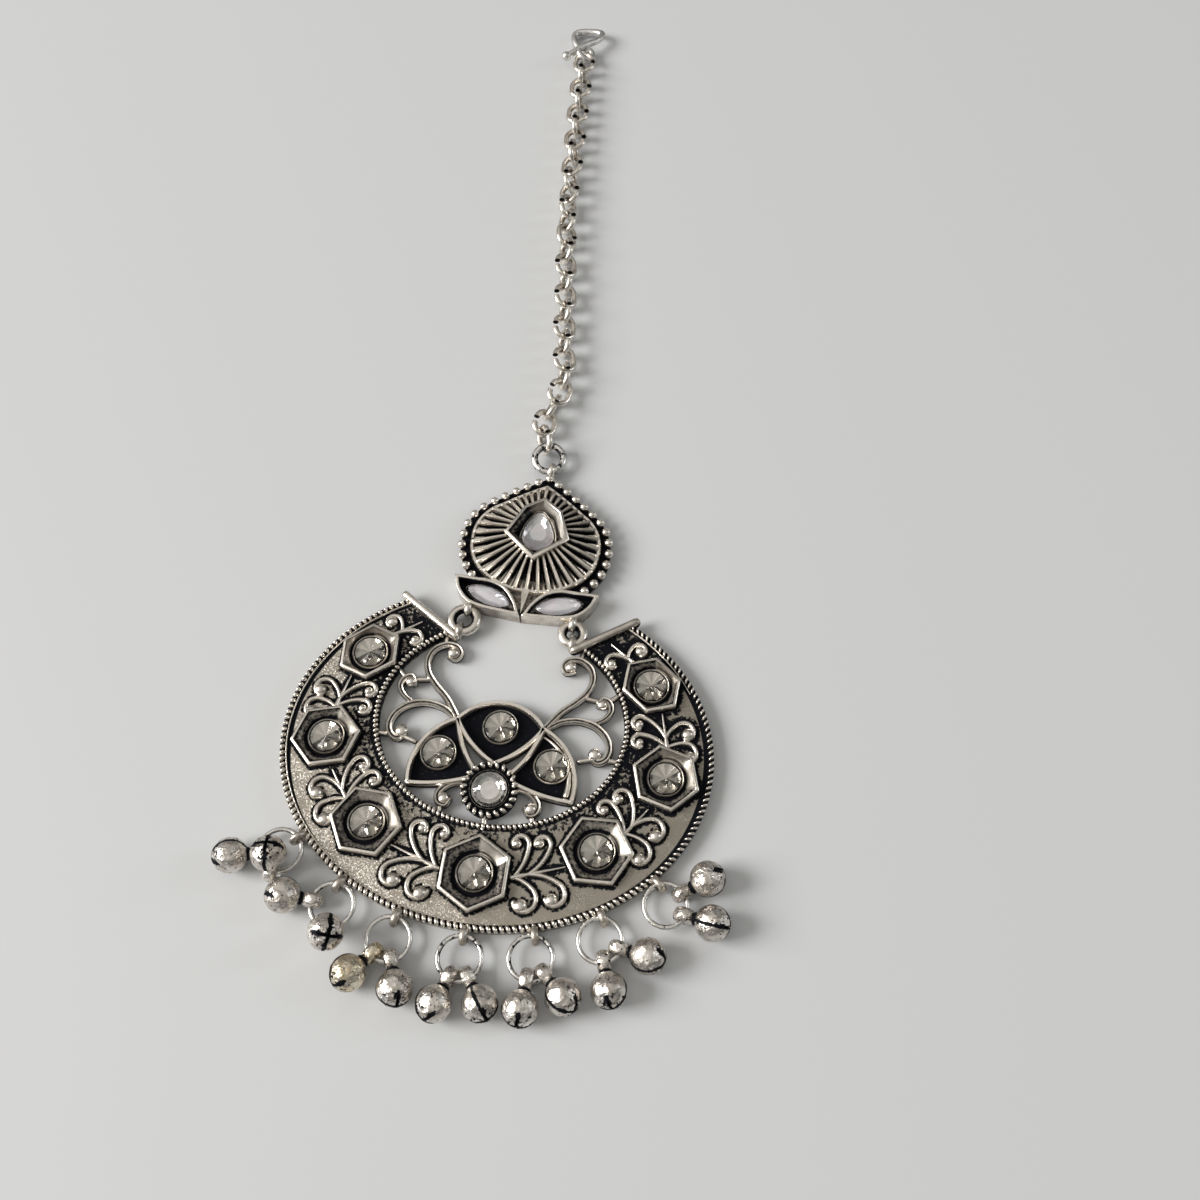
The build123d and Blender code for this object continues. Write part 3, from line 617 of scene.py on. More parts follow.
def along_edges(corners):
    """A straight-edged outline with more points along every edge."""
    return [a.lerp(b, k / WALL_POINTS) for a, b in zip(corners, corners[1:] + corners[:1])
            for k in range(WALL_POINTS)]


def towards_round(outline, middle, radius, share):
    """An outline drawn by a share towards the circle of a collar."""
    return [p.lerp(middle + (p - middle).normalized() * radius, share) for p in outline]


def cup_levels(corners, middle, left):
    """Levels of a straight-edged cup whose walls run down to a round floor; left is how much
    black they have kept."""
    inner, under_sheen = along_edges(drawn_in(corners, CUP_RIM)), black_under_sheen(corners)
    levels = [(along_edges(drawn_in(corners, by)), z, dark) for by, z, dark in
              ((0, CUP_BASE, 1.0), (0, CUP_BASE + 0.25, 1.0), (0.02, CUP_TOP - 0.45, 0.3),
               (0.04, CUP_TOP - 0.13, 0.0))]
    levels.append((inner, CUP_TOP, 0.0))
    # each level inside: how far the hexagon has turned round, how far it has fallen, its black
    for share, fall, dark in ((0.06, 0.1, 0.75), (0.14, 0.2, 0.72), (0.45, 0.42, 0.58),
                              (0.8, 0.76, 0.68), (0.97, 0.93, 1.0), (1.0, 1.0, 1.2)):
        here = dark * (left if fall < 0.9 else 1.0)
        levels.append((towards_round(inner, Vector(middle), WELL_R, share),
                       CUP_TOP - (CUP_TOP - CUP_FLOOR) * fall, [here * k for k in under_sheen]))
    return levels


def ring_pattern(radius, wire, around, sides=10, tall=1.0, low=-0.3, high=0.5, lean=0.0):
    """A round ring of wire that lies flat, black towards its foot, and inside it by lean."""
    ring = new_work()
    layer = ring.verts.layers.float["patina_and_shade"]
    bmesh.ops.create_circle(ring, segments=sides, radius=1.0)
    for v in ring.verts:
        v[layer] = 1.0 - sub_smooth(low, high, v.co.y + v.co.x * lean)
        v.co = (radius + v.co.x * wire, 0, v.co.y * wire * tall)
    bmesh.ops.spin(ring, geom=ring.edges[:] + ring.verts[:], cent=(0, 0, 0), axis=(0, 0, 1),
                   angle=2 * math.pi, steps=around, use_merge=True)
    return pattern_of(ring)


def turned(profile, around=40):
    """A round shape turned from a profile of radius, height and patina."""
    lathe = new_work()
    layer = lathe.verts.layers.float["patina_and_shade"]
    chain = [lathe.verts.new((radius, 0, z)) for radius, z, _ in profile]
    for v, row in zip(chain, profile):
        v[layer] = row[2]
    edges = [lathe.edges.new(pair) for pair in zip(chain, chain[1:])]
    bmesh.ops.spin(lathe, geom=chain + edges, cent=(0, 0, 0), axis=(0, 0, 1), angle=2 * math.pi,
                   steps=around, use_merge=True)
    bmesh.ops.remove_doubles(lathe, verts=lathe.verts, dist=0.001)
    return pattern_of(lathe)


work = new_work()
collar = turned([(0, -0.15, 1.1), (2.34, -0.15, 1.1), (2.34, 0.12, 1.1), (2.3, 0.46, 0.3),
                 (2.22, 0.56, 0.0), (2.13, 0.5, 0.3), (2.1, 0.03, 1.1), (0, 0.03, 1.1)], 48)
for row in CUPS:
    x, y = row[:2]
    left = 0.6 if row is CUPS[0] else 1.0       # the cup on the left horn keeps the least black
    stamp(work, cast_cup(cup_levels(hexagon(*row), (x, y), left), 0.08))
    stamp(work, collar, at(x, y, CUP_FLOOR))
show("hexagon_cups", work, silver_relief, ["crescent_plate"], 35)


# ---- openwork in the opening -----------------------------------------------
# Three petals with black floors, joined by thick flat-topped wires and S-shaped horns.
# It is cast in one with the crescent and pierced right through between the wires.
FORK = (5.5, 3.2)                       # where the petals meet on the right
PETAL_BASE, PETAL_FLOOR, PETAL_SEAT = 0.1, 0.75, 0.85
WIRE_Z = 0.86                           # the middle of the wires' height
PETAL_STONES = [(-7.2, -1.5), (7.2, -1.5), (0.0, 2.8)]
# one row for each wire of the right half: how thick its ends are, and the points it runs through
OPEN_WIRES = [
    ((0.9, 0.8), [FORK, (7.3, 5.7), (9.2, 7.5), (10.4, 9.0), (10.85, 10.7), (10.3, 12.3),
                  (8.9, 13.2), (7.5, 13.1), (6.8, 12.2), (7.3, 11.3), (8.2, 11.6)]),
    ((0.8, 1.0), [(6.1, 3.5), (7.6, 4.5), (9.7, 4.95), (11.9, 4.5), (13.5, 3.2), (14.1, 1.6),
                  (13.7, 0.3), (12.7, -0.2), (12.1, 0.7)]),
    ((0.6, 1.0), [(11.6, 4.7), (13.0, 5.6), (13.7, 6.7), (13.4, 7.8), (12.5, 8.2), (12.1, 7.4)]),
    ((0.8, 1.0), [(3.0, -4.9), (4.4, -5.0), (5.5, -5.6), (6.25, -6.6), (6.1, -7.6), (5.3, -7.9),
                  (4.9, -7.2)]),
]
# the granules in their curls, with their radii, and the short bars that tie them to the ring
OPEN_BALLS = [(7.75, 12.1, 0.66), (12.35, 0.75, 0.72), (12.45, 7.45, 0.6), (5.45, -7.2, 0.62)]
OPEN_TIES = [((12.2, 0.2), (10.5, -0.3)), ((13.6, 0.3), (15.8, 0.2)), ((11.7, 8.0), (10.1, 8.2)),
             ((13.3, 8.1), (14.3, 9.0)), ((5.7, -8.0), (5.9, -9.3)), ((8.9, 13.3), (9.1, 14.6))]


def petal_outlines():
    """Outlines of the top petal and of the right one, corner to corner in arcs."""
    left, foot, heel, tip = (-FORK[0], FORK[1]), (0.15, -2.0), (2.4, -3.0), (10.3, -5.8)
    top = [bow_line(left, FORK, 2.8), bow_line(FORK, foot, 0.55),
           bow_line((-foot[0], foot[1]), left, 0.55)]
    side = [bow_line(FORK, tip, 1.85), bow_line(tip, (2.9, -4.3), 0.35),
            bow_line(heel, FORK, -0.45)]
    return top, side


def plate(outline, low, high, dark):
    """A flat plate between two heights, its patina even but rubbed towards its foot."""
    sheet = new_work()
    layer = sheet.verts.layers.float["patina_and_shade"]
    face = sheet.faces.new([sheet.verts.new((p[0], p[1], low)) for p in outline])
    grown = bmesh.ops.extrude_face_region(sheet, geom=[face])["geom"]
    bmesh.ops.translate(sheet, vec=(0, 0, high - low), verts=verts_in(grown))
    for v in sheet.verts:
        v[layer] = dark if v.co.z > low else min(dark, 0.45)
    return pattern_of(sheet)


work = new_work()
top_petal, side_petal = petal_outlines()
flip = Matrix.Diagonal((-1, 1, 1, 1))
for edges, both in ((top_petal, False), (side_petal, True)):
    outline = [p for edge in edges for p in edge[:-1]]
    floor = plate(outline, PETAL_BASE, PETAL_FLOOR, 0.85)
    stamp(work, floor)
    if both:
        stamp(work, floor, flip)
    for edge in edges:
        lay_wire(work, edge, 0.37, 0.86, WIRE_Z, square=0.6, low=0.0, top=0.9, mirrored=both)
# the bright inner wall of the right petal
lay_wire(work, bow_line((5.6, 2.3), (9.5, -4.9), 1.5), 0.42, 0.4, 0.85, thin=(0.4, 1.0),
         low=-1.5, top=0.9)
for thin, points in OPEN_WIRES:
    lay_wire(work, through(points), 0.52, 0.66, WIRE_Z, sides=12, square=0.7, thin=thin,
             low=-0.2, top=0.7, swell=0.08, groove=0.9, mirrored=True)
for start, finish in OPEN_TIES:
    lay_wire(work, bow_line(start, finish, 0.0), 0.36, 0.5, 0.7, low=-0.1, top=1.1, mirrored=True)
for x, y, radius in OPEN_BALLS:
    for side in (1, -1):
        stamp(work, granule, at(side * x, y, 1.15, 0, (radius * 1.2, radius * 1.2, 0.65)))
for x, y in PETAL_STONES:
    stamp(work, collar, at(x, y, PETAL_SEAT))
show("openwork", work, silver_relief, ["crescent_plate"], 50)


# ---- boss of the centre stone ----------------------------------------------
# A round cup on the petals' foot, ringed by slanted beads, that holds the mirror-like stone.
BOSS_Y = -5.5
BOSS_BEADS, BOSS_BEADS_R = 22, 3.22     # how many beads, and the radius of their ring

work = new_work()
stamp(work, turned([(0, 0.1, 0.6), (3.45, 0.1, 0.8), (3.5, 1.35, 1.1), (2.62, 1.5, 1.1),
                    (2.56, 1.62, 0.9), (2.46, 1.72, 0.55), (2.38, 1.6, 1.0), (2.34, 1.0, 1.1),
                    (0, 1.0, 1.1)]), at(0, BOSS_Y))
twist = bead_pattern(0.54, 0.29, 0.5, low=-0.2, high=0.35)
for k in range(BOSS_BEADS):
    angle = 360 * k / BOSS_BEADS
    x, y = BOSS_BEADS_R * toward(angle)
    stamp(work, twist, at(x, BOSS_Y + y, 1.62, angle + 90 + BEAD_SLANT))
lay_wire(work, bow_line((0, -9.0), (0, -10.4), 0.0), 0.45, 0.6, 0.9)
show("boss", work, silver_relief, ["crescent_plate"], 50)


# ---- rim loops -------------------------------------------------------------
# Small loops cast on the crescent's lower rim for the bells' rings, and one at each horn.
LOOP_R, LOOP_WIRE = 0.85, 0.3
LOOP_OUT, RING_Z = 0.5, 1.35            # how far out the loops stand, and how high rings pass
HORN_EYE = (7.5, 15.25)
# one row for each rim loop: place round the rim, and the way its ring lies
RIM_LOOPS = [(218, 225), (235.5, 262), (252.7, 261), (270, 269), (287.3, 268), (304.7, 272),
             (322, 296)]


def beside_rim(place, out):
    """A point beside the outer rim, and the direction straight out there."""
    c, s = math.cos(math.radians(place)), math.sin(math.radians(place))
    normal = math.atan2(s / RIM_B, c / RIM_A)
    return (RIM_A * c + out * math.cos(normal), RIM_B * s + out * math.sin(normal),
            math.degrees(normal))


def standing(x, y, z, facing):
    """The place of a ring that stands on edge, its hole along the given direction."""
    return at(x, y, z, facing) @ rolled(90, "Y")


work = new_work()
loop = ring_pattern(LOOP_R, LOOP_WIRE + 0.08, around=28, tall=1.25, low=-2.0, high=-1.0)
for place, _ in RIM_LOOPS:
    x, y, normal = beside_rim(place, LOOP_OUT)
    stamp(work, loop, standing(x, y, RING_Z, normal + 90))
for side in (1, -1):
    stamp(work, loop, standing(side * HORN_EYE[0], HORN_EYE[1], RING_Z, 0))
for v in work.verts:
    v[work.verts.layers.float["patina_and_shade"]] = 0.42
show("rim_loops", work, silver_relief, ["crescent_plate"], 60)


# ---- the crown plate -------------------------------------------------------
# The upper casting: an onion-shaped fan of ribs round a kite-shaped cup, inside a plain ridge
# and a border of granules. It hangs a little askew on its links, so it is cast upright and turned.
CROWN_X, CROWN_TURN = 0.6, -2.0
CROWN_BASE = 1.2
WAIST_Y = 28.4                          # where the crown's outline is widest
PEARL_R, PEARL_PITCH, PEARL_OUT = 0.62, 1.66, 1.33      # the border's granules
PEARLS_FROM = 23.2                      # how low the border reaches on either side
APEX_EYE, SIDE_EYE = (0, 41.0), (7.0, 18.25)
KITE = [(0.1, 35.9), (-2.5, 34.1), (-4.45, 29.75), (0.1, 26.15), (4.55, 29.9), (2.8, 34.1)]
KITE_BLACK_UNDER_SHEEN = (0.6, 1.2, 1.2, 1.0, 0.6, 0.35)     # how much of its black each corner keeps: more on the upper left as painted shade, less on the upper right as a painted reflection
# the leaf on the right: from its foot along its upper edge to the tip, and back along the lower one
LEAF = [(0.1, 18.0), (1.1, 20.1), (2.6, 21.8), (4.6, 22.6), (7.1, 22.65), (9.8, 22.7), (9.0, 20.6),
        (7.5, 19.05), (5.4, 18.4), (3.0, 18.2)]
LEAF_TIP = 5
KITE_CENTRE = Vector((0, 31.0))
KITE_TOP, KITE_FLOOR = 3.2, 1.6
crown_place = (at(CROWN_X, KITE_CENTRE.y, 0, CROWN_TURN)
               @ Matrix.Translation((0, -KITE_CENTRE.y, 0)))


def arc_through(start, middle, finish):
    """Points along an arc through three points."""
    start, middle, finish = Vector(start), Vector(middle), Vector(finish)
    chord = finish - start
    left = Vector((-chord.y, chord.x)).normalized()
    c, h = (middle - start).dot(chord.normalized()), (middle - start).dot(left)
    half = chord.length / 2
    # how far to the left of the chord the circle's centre lies
    centre = (c * c + h * h - 2 * c * half) / (2 * h)
    return bow_line(start, finish, centre + math.copysign(math.hypot(half, centre), h))


def onion(out):
    """The crown's onion-shaped line, anticlockwise from its left, at a distance out."""
    wide, low, shoulder, top = 8.65 + out, 21.7 - out, 34.3 + out * 0.45, 38.1 + out * 1.2
    sweep, cheek = 5.7 + out * 0.85, 31.9 + out * 0.2
    line = oval(wide, WAIST_Y - low, WAIST_Y, 180, 360, 90)
    line += arc_through((wide, WAIST_Y), (wide * 0.93, cheek), (sweep, shoulder))[1:]
    line += bow_line((sweep, shoulder), (0, top), -0.12)[1:]
    line += bow_line((0, top), (-sweep, shoulder), -0.12)[1:]
    return line + arc_through((-sweep, shoulder), (-wide * 0.93, cheek), (-wide, WAIST_Y))[1:-1]


def reach(outline, centre, angle):
    """How far an outline lies from a centre, in a direction in degrees."""
    ray, best = toward(angle), 0.0
    for a, b in zip(outline, outline[1:] + outline[:1]):
        a, b = Vector(a) - centre, Vector(b) - centre
        side = b - a
        cross = ray.x * side.y - ray.y * side.x
        if abs(cross) > 1e-9:
            far = (a.x * side.y - a.y * side.x) / cross
            share = (a.x * ray.y - a.y * ray.x) / cross
            if far > 0 and -1e-6 <= share <= 1 + 1e-6:
                best = max(best, far)
    return best


def leaf_outline(outline):
    """A leaf with smooth edges between its foot and its tip, clockwise."""
    points = outline + outline[:1]
    upper, lower = points[:LEAF_TIP + 1], points[LEAF_TIP:]
    return through(upper, each=5)[:-1] + through(lower, each=5)[:-1]


def leaf_levels(side):
    """Levels of the leaf's cup on one side."""
    made = []
    for by, z, dark in ((0.0, 0.0, 0.5), (0.0, 0.4, 0.4), (0.02, 2.3, 0.1), (0.05, 2.5, 0.0),
                        (0.4, 2.5, 0.0), (0.46, 2.3, 0.8), (0.6, 1.3, 1.2)):
        line = leaf_outline([tuple(p) for p in drawn_in(LEAF[::-1], by)][::-1])
        line = [(side * p.x, p.y) for p in line]
        made.append((line if side < 0 else line[::-1], z, dark))
    return made


def kite_levels():
    """Levels of the kite-shaped cup, its walls falling evenly to a floor of the same shape."""
    return [(drawn_in(KITE, by), z, [dark * under_sheen for under_sheen in KITE_BLACK_UNDER_SHEEN]) for by, z, dark in
            ((-0.1, 0.8, 1.0), (-0.05, 1.9, 0.8), (0, 2.6, 0.3), (0, KITE_TOP - 0.22, 0.0),
             (0.4, KITE_TOP, 0.0), (0.5, 3.05, 0.6), (0.6, 2.9, 0.62), (0.85, 2.6, 0.52),
             (1.15, 2.1, 0.66), (1.35, KITE_FLOOR, 1.2))]


work = new_work()
stamp(work, plate(onion(1.55), 0.0, CROWN_BASE, 1.0))
# the flat triangle between the leaves and the ribs
stamp(work, plate([(-1.6, 19.0), (1.6, 19.0), (4.5, 23.5), (-4.5, 23.5)], 0.0, CROWN_BASE + 0.5,
                  0.62))
ridge = onion(-0.1)
lay_wire(work, ridge + ridge[:2], 0.32, 0.75, 1.55, square=0.7, low=0.0, top=0.7)
ring_line = onion(PEARL_OUT)
pearl = bead_pattern(PEARL_R, PEARL_R, PEARL_R, rings=12, sides=16, low=-0.5, high=0.15)
for p, _ in spaced(ring_line + ring_line[:1], PEARL_PITCH):
    if p.y > PEARLS_FROM:
        stamp(work, pearl, at(p.x, p.y, CROWN_BASE + 0.4))
inner_edge = onion(-0.3)
RIBS = 36
for k in range(2 * RIBS):
    angle = 180 * (k + 1) / RIBS
    near_end = reach(KITE, KITE_CENTRE, angle) - 0.1
    far_end = reach(inner_edge, KITE_CENTRE, angle)
    low_rib = k % 2 == 0                # every other rib is short, low and dark
    if low_rib:
        near_end += (far_end - near_end) * 0.45
    ends = [KITE_CENTRE + toward(angle) * (near_end + (far_end - near_end) * share)
            for share in (0, 0.5, 1)]
    heights = (1.35, 1.5, 1.55) if low_rib else (2.25, 2.05, 1.8)
    rib = [(p.x, p.y, z) for p, z in zip(ends, heights)]
    if low_rib:
        lay_wire(work, rib, 0.27, 0.34, 0, sides=8, thin=(0.5, 1.1), low=-0.6, top=1.1)
    else:
        # the ribs on the upper right are darkened with painted shade, away from the window light
        shaded = sub_smooth(0.3, 0.8, math.cos(math.radians(angle - 25)))
        lay_wire(work, rib, 0.29, 0.55, 0, sides=10, square=0.7, thin=(0.7, 1.2), low=-0.2,
                 top=0.75 + 1.3 * shaded)
stamp(work, cast_cup(kite_levels(), 0.08))
for side in (1, -1):
    stamp(work, cast_cup(leaf_levels(side), 0.06))
stamp(work, plate([(0, 18.3), (0.6, 22.0), (-0.5, 22.0)], 0.5, 2.4, 0.3))
for x, y in (APEX_EYE, SIDE_EYE, (-SIDE_EYE[0], SIDE_EYE[1])):
    stamp(work, loop, standing(x, y, RING_Z, 0))
bmesh.ops.transform(work, matrix=crown_place, verts=work.verts)
show("crown", work, silver_relief, ["crown_plate"], 40)


# ---- crystals --------------------------------------------------------------
# Clear glass crystals cut with a table, stars and mains, backed by a bright foil cone that shows
# through as a wheel of facets. One in every hexagon cup and petal.
CRYSTAL_R = 2.02
SPOKES = 16
FAN_SIDE = math.radians(-52)            # where the foil behind every crystal glints


def plain_finish(name, **sockets):
    """A finish that is the same all over: glass, foil or paint."""
    finish = Finish(name)
    finish.coat_with(**sockets)
    return finish.material


def faceted(stone, flat):
    """A stone hulled over its corners; facets that differ by less than flat degrees are one."""
    hull = bmesh.ops.convex_hull(stone, input=stone.verts)
    loose = [g for g in hull["geom_unused"] + hull["geom_interior"] if g.is_valid]
    bmesh.ops.delete(stone, geom=verts_in(loose), context="VERTS")
    bmesh.ops.dissolve_limit(stone, angle_limit=math.radians(flat), verts=stone.verts,
                             edges=stone.edges)
    return pattern_of(stone)


def cut(rings):
    """A round cut stone; a ring of its corners is radius, height, how many, and their turn."""
    stone = new_work()
    for radius, z, corners, turn in rings:
        bmesh.ops.create_circle(stone, segments=corners, radius=radius, matrix=at(0, 0, z, turn))
    return faceted(stone, 2)


def foil_wheel(radius, rise, lift):
    """A wheel of flat foil facets about its middle, every other corner of its rim lifted.

    The folds are deepest at the lower right."""
    wheel = new_work()
    bmesh.ops.create_circle(wheel, cap_ends=True, cap_tris=True, segments=SPOKES, radius=radius)
    for v in wheel.verts:
        if v.co.length > radius / 2:
            angle = math.atan2(v.co.y, v.co.x)
            fold = lift * (0.26 + 0.84 * sub_smooth(-0.6, 0.7, math.cos(angle - FAN_SIDE)))
            v.co.z = rise + (fold if round(angle / (2 * math.pi / SPOKES)) % 2 else -fold)
    bmesh.ops.recalc_face_normals(wheel, faces=wheel.faces)
    bmesh.ops.solidify(wheel, geom=wheel.faces[:], thickness=0.04)
    return pattern_of(wheel)


clear_glass = plain_finish("clear_glass", base_color=(0.985, 0.975, 0.96, 1), roughness=0.02,
                           ior=1.55, transmission_weight=1.0)
bright_foil = plain_finish("stone_foil", base_color=(0.62, 0.595, 0.55, 1), metallic=1.0,
                           roughness=0.13)
crystal = cut([(CRYSTAL_R * 0.74, 0.86, 8, 22.5), (CRYSTAL_R, 0.7, 16, 11.25),
               (CRYSTAL_R, 0.5, 16, 11.25), (CRYSTAL_R * 0.97, 0.02, 16, 11.25)])
wheel = foil_wheel(CRYSTAL_R * 0.94, 0.16, 0.15)
SEATS = [(f"rim_stone_{k}", row[0], row[1], CUP_FLOOR) for k, row in enumerate(CUPS, start=1)]
SEATS += [(name, x, y, PETAL_SEAT) for name, (x, y) in zip(
    ("petal_stone_left", "petal_stone_right", "petal_stone_top"), PETAL_STONES)]
for number, (name, x, y, floor) in enumerate(SEATS):        # each is turned another way
    show_one(name + "_glass", crystal, at(x, y, floor + 0.04, 37 * number), clear_glass, name,
             "clear_crystal", 1)
    show_one(name + "_foil", wheel, at(x, y, floor + 0.2, 5 * (number % 5) - 10), bright_foil,
             name, "clear_crystal", 1)


# ---- pearly stones ---------------------------------------------------------
# Milky foiled stones: the round one in the boss, the pear in the kite and the two boat-shaped
# ones in the leaves. Each has a wide table and soft facets, in a thin collar.
PEAR_Y = 30.85
LEAF_SEAT, LEAF_LIE = (4.75, 20.4, 1.35), 15     # the right leaf stone's place and its turn


def milky_foil(name, body, blush, metallic):
    """The pearly backing of a stone, with a breath of another colour."""
    pearl = Finish(name)
    tint = pearl.grain(0.45, 2.0).step(0.35, 0.65).over(body, blush)
    pearl.coat_with(base_color=tint, metallic=metallic, roughness=0.1)
    return pearl.material


def foil_dish(outline, flat, rise):
    """A dish of foil facets that rise from a flat middle to just inside the outline."""
    dish = new_work()
    dish.faces.new([dish.verts.new((p[0] * flat[0], p[1] * flat[1], 0)) for p in outline])
    outer = verts_in(bmesh.ops.extrude_edge_only(dish, edges=dish.edges[:])["geom"])
    bmesh.ops.scale(dish, vec=(0.94 / flat[0], 0.94 / flat[1], 1), verts=outer)
    bmesh.ops.translate(dish, vec=(0, 0, rise), verts=outer)
    bmesh.ops.recalc_face_normals(dish, faces=dish.faces)
    bmesh.ops.solidify(dish, geom=dish.faces[:], thickness=0.04)
    return pattern_of(dish)


def cut_outline(outline, height, table):
    """A cut stone over any outline, drawn in to a table above its girdle."""
    stone = new_work()
    for size, z, step in ((0.98, 0.0, 2), (1.0, height * 0.4, 1), (1.0, height * 0.5, 1),
                          ((1 + table) / 2 + 0.04, height * 0.84, 1), (table, height, 2)):
        for p in outline[::step]:
            stone.verts.new((p[0] * size, p[1] * size, z))
    return faceted(stone, 3)


def pear(long, wide, corners=16):
    """A drop outline with its point up."""
    turns = [math.pi / 2 + 2 * math.pi * k / corners for k in range(corners)]
    return [(wide / 2 * math.cos(t) * (1 - 0.38 * math.sin(t)), long / 2 * math.sin(t))
            for t in turns]


def boat(long, wide, corners=16):
    """An outline of two arcs that meet in points."""
    turns = [2 * math.pi * k / corners for k in range(corners)]
    return [(long / 2 * math.cos(t), wide / 2 * math.sin(t) * abs(math.sin(t)) ** 0.35)
            for t in turns]


def set_stone(node, outline, height, table, flat, rise, place, backing):
    """A pearly stone in its seat: its glass, and the foil dish inside it."""
    show_one(node + "_glass", cut_outline(outline, height, table), place, lilac_glass, node,
             "pearly_stone", 1)
    show_one(node + "_foil", foil_dish(outline, flat, rise),
             place @ Matrix.Translation((0, 0, 0.1)), backing, node, "pearly_stone", 1)


lilac_glass = plain_finish("lilac_glass", base_color=(0.985, 0.985, 0.995, 1), roughness=0.02,
                           ior=1.5, transmission_weight=1.0)
lilac_foil = milky_foil("lilac_foil", (0.70, 0.72, 0.72, 1), (0.82, 0.75, 0.78, 1), 0.75)
leaf_foil = milky_foil("leaf_foil", (0.88, 0.89, 0.92, 1), (0.96, 0.91, 0.94, 1), 0.35)
mirror_foil = milky_foil("mirror_foil", (0.70, 0.70, 0.66, 1), (0.82, 0.79, 0.78, 1), 0.95)
disc = [2.3 * toward(22.5 * k) for k in range(16)]
set_stone("centre_stone", disc, 1.35, 0.6, (0.5, 0.5), 0.36, at(0, BOSS_Y, 1.05, 8), mirror_foil)
pear_place = crown_place @ at(0.05, PEAR_Y, 1.65, 5)
set_stone("crown_stone", pear(6.1, 4.2), 1.25, 0.62, (0.5, 0.45), 0.36, pear_place, lilac_foil)
work = new_work()
rim = pear(6.45, 4.55, 40)
stamp(work, pull_wire(rim + rim[:2], 0.13, 0.3, 0.25, sides=8, low=0.3, top=1.3), pear_place)
for side, name in ((1, "leaf_stone_right"), (-1, "leaf_stone_left")):
    place = crown_place @ at(side * LEAF_SEAT[0], *LEAF_SEAT[1:], side * LEAF_LIE)
    set_stone(name, boat(6.3, 2.45), 1.05, 0.55, (0.66, 0.34), 0.24, place, leaf_foil)
    rim = boat(6.6, 2.75, 40)
    stamp(work, pull_wire(rim + rim[:2], 0.1, 0.25, 0.15, sides=8, low=0.4, top=1.3), place)
show("crown_collars", work, silver_relief, ["crown_plate"], 50)


# ---- rings and side links --------------------------------------------------
# Thin bright wire rings through the rim loops, and thicker ones that tie the horns to the crown.
# Their wire is a little tarnished in spots.
RING_R, RING_WIRE = 2.6, 0.25


def bright_wire(name, spotted):
    """Drawn wire, bright, with black spots left from the dip."""
    metal = Finish(name)
    cloud, spots = metal.grain(0.9, 3.0), metal.grain(1.7, 3.0)
    black = (spots + metal.attribute("patina_and_shade") * 0.16).step(spotted, spotted + 0.05)
    tone = cloud.step(0.35, 0.75).over((0.88, 0.865, 0.84, 1), (0.56, 0.54, 0.50, 1))
    metal.coat_with(base_color=black.over(tone, BLACK), metallic=1.0 - black * 0.6,
                    roughness=0.2 + cloud * 0.16 + black * 0.2)
    metal.emboss(metal.grain(6.0, 2.0), 0.012, 0.5)
    return metal.material


clean_wire, spotted_wire = bright_wire("clean_wire", 0.66), bright_wire("spotted_wire", 0.56)


def set_along(middle, *axes):
    """A place with its X, Y and Z along three directions."""
    return Matrix.Translation(middle) @ Matrix(axes).transposed().to_4x4()


def ring_between(first, second, wire):
    """A round ring whose wire passes through two points, and its place."""
    first, second = Vector(first), Vector(second)
    across = second - first
    side = across.cross(Vector((0, 0, 1))).normalized()
    upright = side.cross(across).normalized()
    ring = ring_pattern(across.length / 2, wire, 44, low=0.0, high=0.9, lean=0.95)
    return ring, set_along((first + second) / 2, across.normalized(),
                           upright.cross(across).normalized(), upright)


def crown_point(x, y):
    """Where a point on the crown's own axis lies."""
    return crown_place @ Vector((x, y, RING_Z))


ring = ring_pattern(RING_R, RING_WIRE + 0.04, 56, 12, lean=0.8)
for number, (place, way) in enumerate(RIM_LOOPS, start=1):
    x, y, _ = beside_rim(place, LOOP_OUT)
    lie = math.radians(way)
    show_one(f"jump_ring_{number}_wire", ring,
             at(x + RING_R * math.cos(lie), y + RING_R * math.sin(lie), RING_Z),
             spotted_wire if number in (4, 5) else clean_wire, f"jump_ring_{number}",
             "bright_wire", 60)
for side, name in ((-1, "link_left"), (1, "link_right")):
    ends = (side * HORN_EYE[0], HORN_EYE[1], RING_Z), crown_point(side * SIDE_EYE[0], SIDE_EYE[1])
    show_one(name + "_wire", *ring_between(*ends, LOOP_WIRE + 0.36), silver_relief, name,
             "bright_wire", 60)


# ---- chain -----------------------------------------------------------------
# Oval links of bright drawn wire, each turned a quarter to the one before, lying loosely in line.
# Every smooth link is placed where its solid lies.
LINK_LONG, LINK_WIDE, LINK_WIRE = 4.5, 3.6, 0.35
CHAIN_ROLL = (24, 42)                   # how far the links lean, next to the crown and at the hook


